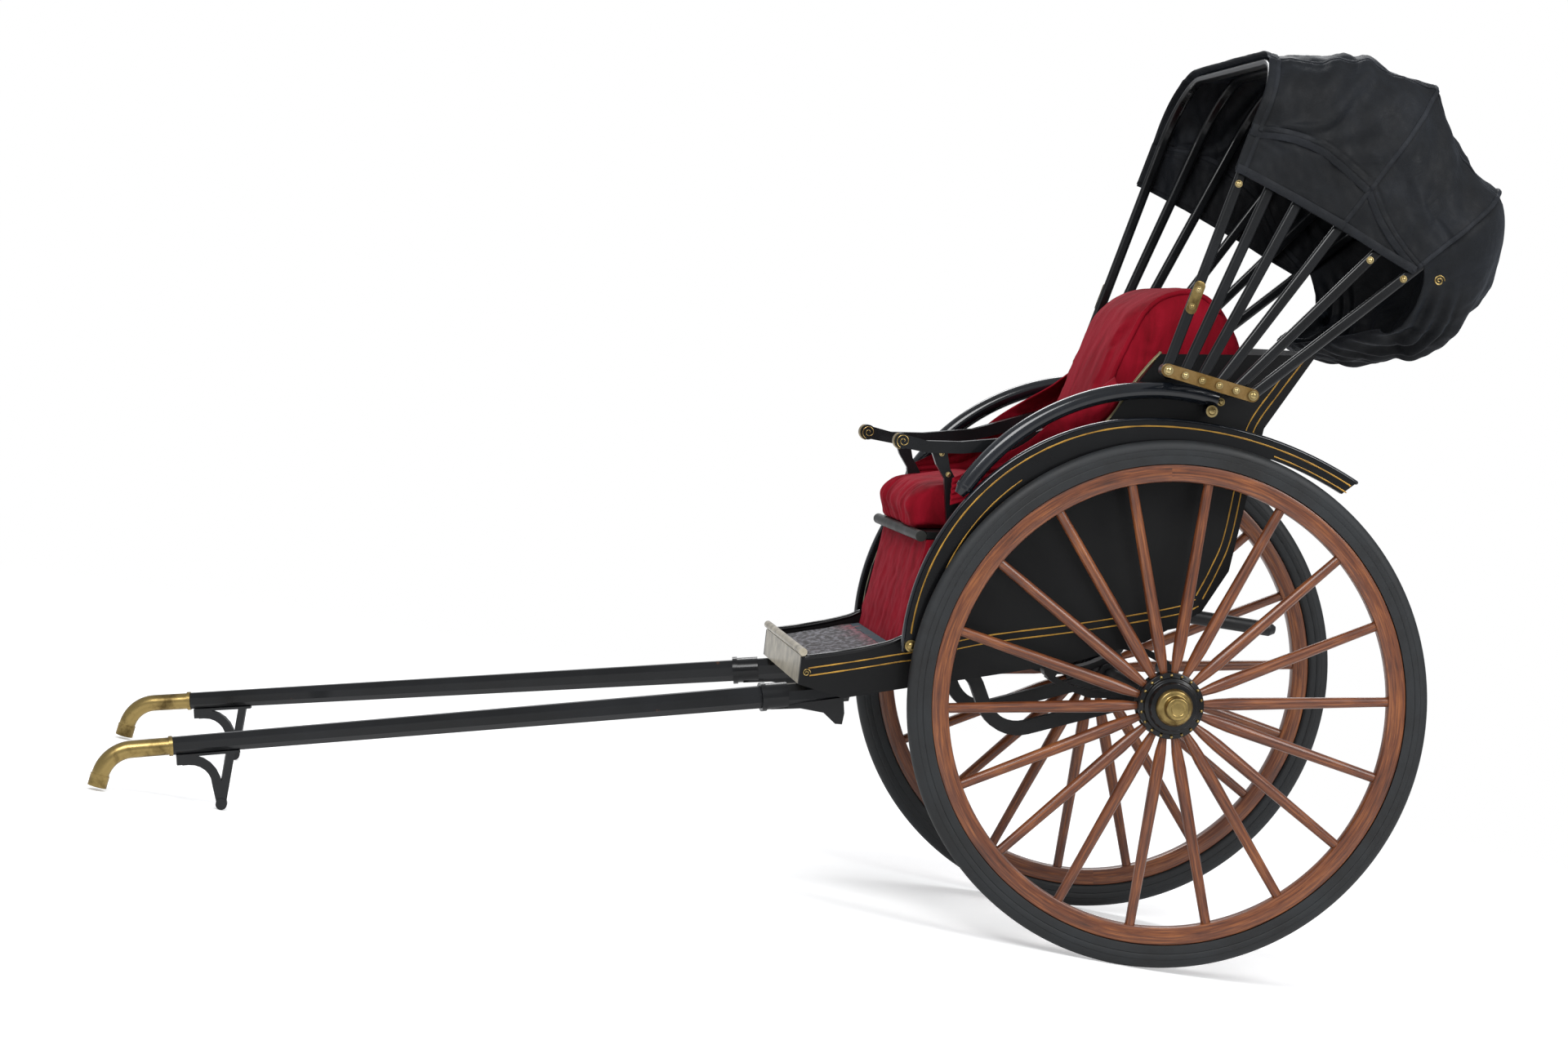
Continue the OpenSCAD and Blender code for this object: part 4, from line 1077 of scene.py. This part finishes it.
def build_fittings():
    """Brass on the hood and arms: rivet heads, bow studs and caps, knee plates, scroll ends and rail bolts."""
    slope = math.radians(PLATE_SLOPE)
    for side in (-1, 1):
        tag = side_name(side)
        for i in range(6):
            at = PLATE_AT + PITCH * i * np.array([math.cos(slope), -math.sin(slope)])
            r = 6.6 if i in (0, 5) else 4.8
            rivet(f"{tag}_plate_rivet_{i}", (at[0], side * (BOW_Y + 16.8), at[1]), side, r, height=4.2)
        for i, name in enumerate(BOW_NAMES):
            if i in (2, 3) or (i == 1 and side < 0):
                continue
            body = f"{name}_bow_body" if i < 5 else "carriage"
            pivot, direction, start = bow_outline(i, 0)[:3]
            spot = pivot + direction * (start - 22)
            rivet(f"{tag}_{name}_bow_stud", (spot[0], side * (BOW_Y + 7.2), spot[1]), side, 5.0, body, 4.0)
        put(sweep(f"{tag}_foot_scroll", at_y(curl((-722, 67), 8, 2.2, 3.0), side * (SIDE_Y + 1.0)), ring(1.3, 8),
            rounded=1), "brass", "carriage")
        put(sweep(f"{tag}_hem_scroll", at_y(curl((524, 846), 11, 2.6, 3.6), side * (BOW_Y + 16)), ring(1.7, 8),
            rounded=1), "brass", "carriage")
        pivot, direction = bow_outline(0, 0)[:2]
        knee = np.stack([pivot + direction * d for d in np.linspace(128, 178, 8)])
        put(sweep(f"{tag}_knee_plate", at_y(knee, side * (BOW_Y + 8.8)),
            np.array([(-1.8, -11), (1.8, -11), (1.8, 11), (-1.8, 11)]), rounded=9), "brass", "front_bow_body")
        for k, d in enumerate((134, 170)):
            spot = pivot + direction * d
            rivet(f"{tag}_knee_rivet_{k}", (spot[0], side * (BOW_Y + 10.6), spot[1]), side, 4.4, "front_bow_body",
                3.6)
        arm_y = side * ARM_Y
        spiral = curl((-520, 526), 14.5, 3.6, 3.4, 4.2, -1)
        for face, out in (("outer", 1), ("inner", -1)):
            put(sweep(f"{tag}_arm_scroll_{face}", at_y(spiral, arm_y + out * side * 17.2), ring(1.1, 8), rounded=1),
                "brass", "carriage")
        cap = arc((-522, 526, 16.6), 110, 255, 20)
        put(sweep(f"{tag}_arm_end", at_y(cap, arm_y), np.array([(-12, -0.6), (12, -0.6), (12, 0.6), (-12, 0.6)])),
            "brass", "carriage")
        for k, spot in enumerate(((-441, 500), (-428, 458), (-416, 366))):
            rivet(f"{tag}_strut_rivet_{k}", (spot[0], arm_y + side * 8.2, spot[1]), side, 3.6, height=3.2)
        rivet(f"{tag}_rail_bolt", (88, side * (SIDE_Y + 44), 586), side, 8, height=7)
        rivet(f"{tag}_rail_end_bolt", (112, side * (SIDE_Y + 20), 604), side, 5.5, height=5)


# ---------- Stage ----------
def build_stage(settings):
    """White floor, white surroundings for the camera, three large soft lamps and the camera."""
    world = bpy.context.scene.world or bpy.data.worlds.new("studio")
    bpy.context.scene.world = world
    world.use_nodes = True
    tree = world.node_tree
    tree.nodes.clear()
    path = add(tree, "ShaderNodeLightPath")
    seen = add(tree, "ShaderNodeMath", {"operation": "MAXIMUM"},
        {0: path.outputs["Is Camera Ray"], 1: path.outputs["Is Transmission Ray"]}).outputs[0]
    fill = add(tree, "ShaderNodeBackground", links={"Color": linear("#f4f6fa"), "Strength": settings.fill})
    white = add(tree, "ShaderNodeBackground", links={"Color": (1, 1, 1, 1), "Strength": 1.0})
    mix = add(tree, "ShaderNodeMixShader", links={0: seen, 1: fill.outputs[0], 2: white.outputs[0]})
    add(tree, "ShaderNodeOutputWorld", links={"Surface": mix.outputs[0]})
    size = 30.0
    mesh = bpy.data.meshes.new("studio_floor")
    mesh.from_pydata([(-size, -size, -0.0005), (size, -size, -0.0005), (size, size, -0.0005), (-size, size, -0.0005)],
        [], [(0, 1, 2, 3)])
    floor = bpy.data.objects.new("studio_floor", mesh)
    bpy.context.scene.collection.objects.link(floor)
    material, tree, shader, where = begin("pale studio floor")
    fix(shader, Base_Color=linear("#f2f2f2"), Roughness=0.9, Specular_IOR_Level=0.1)
    path = add(tree, "ShaderNodeLightPath")
    glow = add(tree, "ShaderNodeEmission", links={"Color": (1, 1, 1, 1), "Strength": settings.floor_glow})
    both = add(tree, "ShaderNodeAddShader", links={0: shader.outputs[0], 1: glow.outputs[0]})
    away = add(tree, "ShaderNodeVectorMath", {"operation": "LENGTH"}, {0: where.outputs["Object"]}).outputs["Value"]
    far = add(tree, "ShaderNodeEmission", links={"Color": (1, 1, 1, 1), "Strength": 1.0})
    spread = add(tree, "ShaderNodeMixShader", links={0: levels(tree, away, 0, 1, 1.6, 4.5), 1: both.outputs[0],
        2: far.outputs[0]})
    mix = add(tree, "ShaderNodeMixShader", links={0: path.outputs["Is Camera Ray"], 1: shader.outputs[0],
        2: spread.outputs[0]})
    tree.links.new(mix.outputs[0], tree.nodes["Material Output"].inputs["Surface"])
    mesh.materials.append(material)
    for name, place, power, width, height in (("key", (-2.4, -4.2, 4.6), settings.key, 3.0, 2.2),
            ("rim", (2.8, -3.0, 3.6), settings.key * 0.5, 1.6, 2.6),
                                              ("back", (0.5, 4.0, 4.2), settings.key * 0.6, 4.0, 1.5)):
        lamp = bpy.data.lights.new(name, "AREA")
        lamp.shape, lamp.size, lamp.size_y, lamp.energy = "RECTANGLE", width, height, power
        holder = bpy.data.objects.new(name, lamp)
        bpy.context.scene.collection.objects.link(holder)
        aim(holder, np.array(place), np.array([0.3, 0, 0.8]), np.array([0, 0, 1.0]))
    scene = bpy.context.scene
    scene.view_settings.view_transform = "Standard"
    camera = bpy.data.objects.new("camera", bpy.data.cameras.new("camera"))
    scene.collection.objects.link(camera)
    camera.data.lens, camera.data.sensor_width = settings.lens, 36.0
    camera.data.clip_start, camera.data.clip_end = 0.1, 200
    azimuth, rise = math.radians(settings.azimuth), math.radians(settings.elevation)
    back = np.array([math.sin(azimuth) * math.cos(rise), -math.cos(azimuth) * math.cos(rise), math.sin(rise)])
    target = np.array([settings.aim_x, 0, settings.aim_z])
    place = target + back * settings.distance * 1000
    up = row([0, 0, 1000]) - row([0, 0, 0])
    aim(camera, row(place), row(target), up)
    scene.camera = camera


def aim(obj, place, target, up):
    """Sets an object at a place looking at a target, its Y axis nearest to up."""
    z = place - target
    z /= np.linalg.norm(z)
    x = np.cross(up, z)
    x /= np.linalg.norm(x)
    turn = np.stack([x, np.cross(z, x), z], 1)
    obj.matrix_world = Matrix.Translation(place.tolist()) @ Matrix(turn.tolist()).to_4x4()


# ---------- Add-on ----------
class RICKSHAW_PG_stage(bpy.types.PropertyGroup):
    azimuth: bpy.props.FloatProperty(name="Azimuth",
        description="Direction of view; 0 looks square at the left side, in degrees", default=-6.78)
    elevation: bpy.props.FloatProperty(name="Elevation",
        description="Height of view above the level cart, in degrees", default=3.53)
    distance: bpy.props.FloatProperty(name="Distance", description="From the camera to the middle plane",
        default=7.452, unit="LENGTH")
    aim_x: bpy.props.FloatProperty(name="Aim along",
        description="Aimed place along the level cart from the axle, in mm", default=-730.2)
    aim_z: bpy.props.FloatProperty(name="Aim height", description="Aimed height above the axle, in mm", default=347.9)
    lens: bpy.props.FloatProperty(name="Lens", description="Focal length in mm on a 36 mm sensor", default=82.6)
    key: bpy.props.FloatProperty(name="Key light", description="Power of the main soft lamp in watts", default=190.0,
        min=0)
    fill: bpy.props.FloatProperty(name="Fill light", description="Strength of the even surrounding light",
        default=0.5, min=0)
    floor_glow: bpy.props.FloatProperty(name="Floor whiteness", description="White added to the floor for the camera",
        default=0.35, min=0)


class RICKSHAW_PG_wheels(bpy.types.PropertyGroup):
    spokes: bpy.props.IntProperty(name="Spokes", description="Spokes in each wheel", default=18, min=12, max=20)


class RICKSHAW_OT_finishes(bpy.types.Operator):
    """Make all materials."""

    bl_idname, bl_label = "rickshaw.finishes", "Finishes"

    def execute(self, context):
        make_finishes()
        return {"FINISHED"}


class RICKSHAW_OT_wheels(bpy.types.Operator):
    """Build both wheels with tyres, felloes, spokes, hubs and caps."""

    bl_idname, bl_label = "rickshaw.wheels", "Wheels"

    def execute(self, context):
        for side in (-1, 1):
            build_wheel(side, context.scene.rickshaw_wheels.spokes)
        return {"FINISHED"}


class RICKSHAW_OT_body(bpy.types.Operator):
    """Finish the body, shafts and running gear, with gold lines and mouldings."""

    bl_idname, bl_label = "rickshaw.body", "Body"

    def execute(self, context):
        build_body()
        return {"FINISHED"}


class RICKSHAW_OT_seat(bpy.types.Operator):
    """Build the velvet cushions, side cloths and floor mat."""

    bl_idname, bl_label = "rickshaw.seat", "Seat"

    def execute(self, context):
        build_cushions()
        build_drapes(-1)
        build_drapes(1)
        build_mat()
        return {"FINISHED"}


class RICKSHAW_OT_hood(bpy.types.Operator):
    """Build the canvas hood and its rear curtain."""

    bl_idname, bl_label = "rickshaw.hood", "Hood"

    def execute(self, context):
        build_hood()
        build_curtain()
        return {"FINISHED"}


class RICKSHAW_OT_fittings(bpy.types.Operator):
    """Add rivets, studs, knee plates and scrolls in brass."""

    bl_idname, bl_label = "rickshaw.fittings", "Fittings"

    def execute(self, context):
        build_fittings()
        return {"FINISHED"}


class RICKSHAW_OT_stage(bpy.types.Operator):
    """Build the floor, the lights and the camera."""

    bl_idname, bl_label = "rickshaw.stage", "Stage"

    def execute(self, context):
        build_stage(context.scene.rickshaw_stage)
        return {"FINISHED"}


OPERATORS = (RICKSHAW_OT_finishes, RICKSHAW_OT_wheels, RICKSHAW_OT_body, RICKSHAW_OT_seat, RICKSHAW_OT_hood,
    RICKSHAW_OT_fittings, RICKSHAW_OT_stage)


class RICKSHAW_PT_panel(bpy.types.Panel):
    bl_label, bl_idname = "Rickshaw", "RICKSHAW_PT_panel"
    bl_space_type, bl_region_type, bl_category = "VIEW_3D", "UI", "Rickshaw"

    def draw(self, context):
        for operator in OPERATORS:
            self.layout.operator(operator.bl_idname)


CLASSES = (RICKSHAW_PG_stage, RICKSHAW_PG_wheels, *OPERATORS, RICKSHAW_PT_panel)


def register():
    for cls in CLASSES:
        bpy.utils.register_class(cls)
    bpy.types.Scene.rickshaw_stage = bpy.props.PointerProperty(type=RICKSHAW_PG_stage)
    bpy.types.Scene.rickshaw_wheels = bpy.props.PointerProperty(type=RICKSHAW_PG_wheels)


def unregister():
    del bpy.types.Scene.rickshaw_wheels, bpy.types.Scene.rickshaw_stage
    for cls in reversed(CLASSES):
        bpy.utils.unregister_class(cls)


def main():
    register()
    bpy.ops.rickshaw.finishes()
    bpy.ops.rickshaw.wheels()
    bpy.ops.rickshaw.body()
    bpy.ops.rickshaw.seat()
    bpy.ops.rickshaw.hood()
    bpy.ops.rickshaw.fittings()
    bpy.ops.rickshaw.stage()


if __name__ == "__main__":
    main()
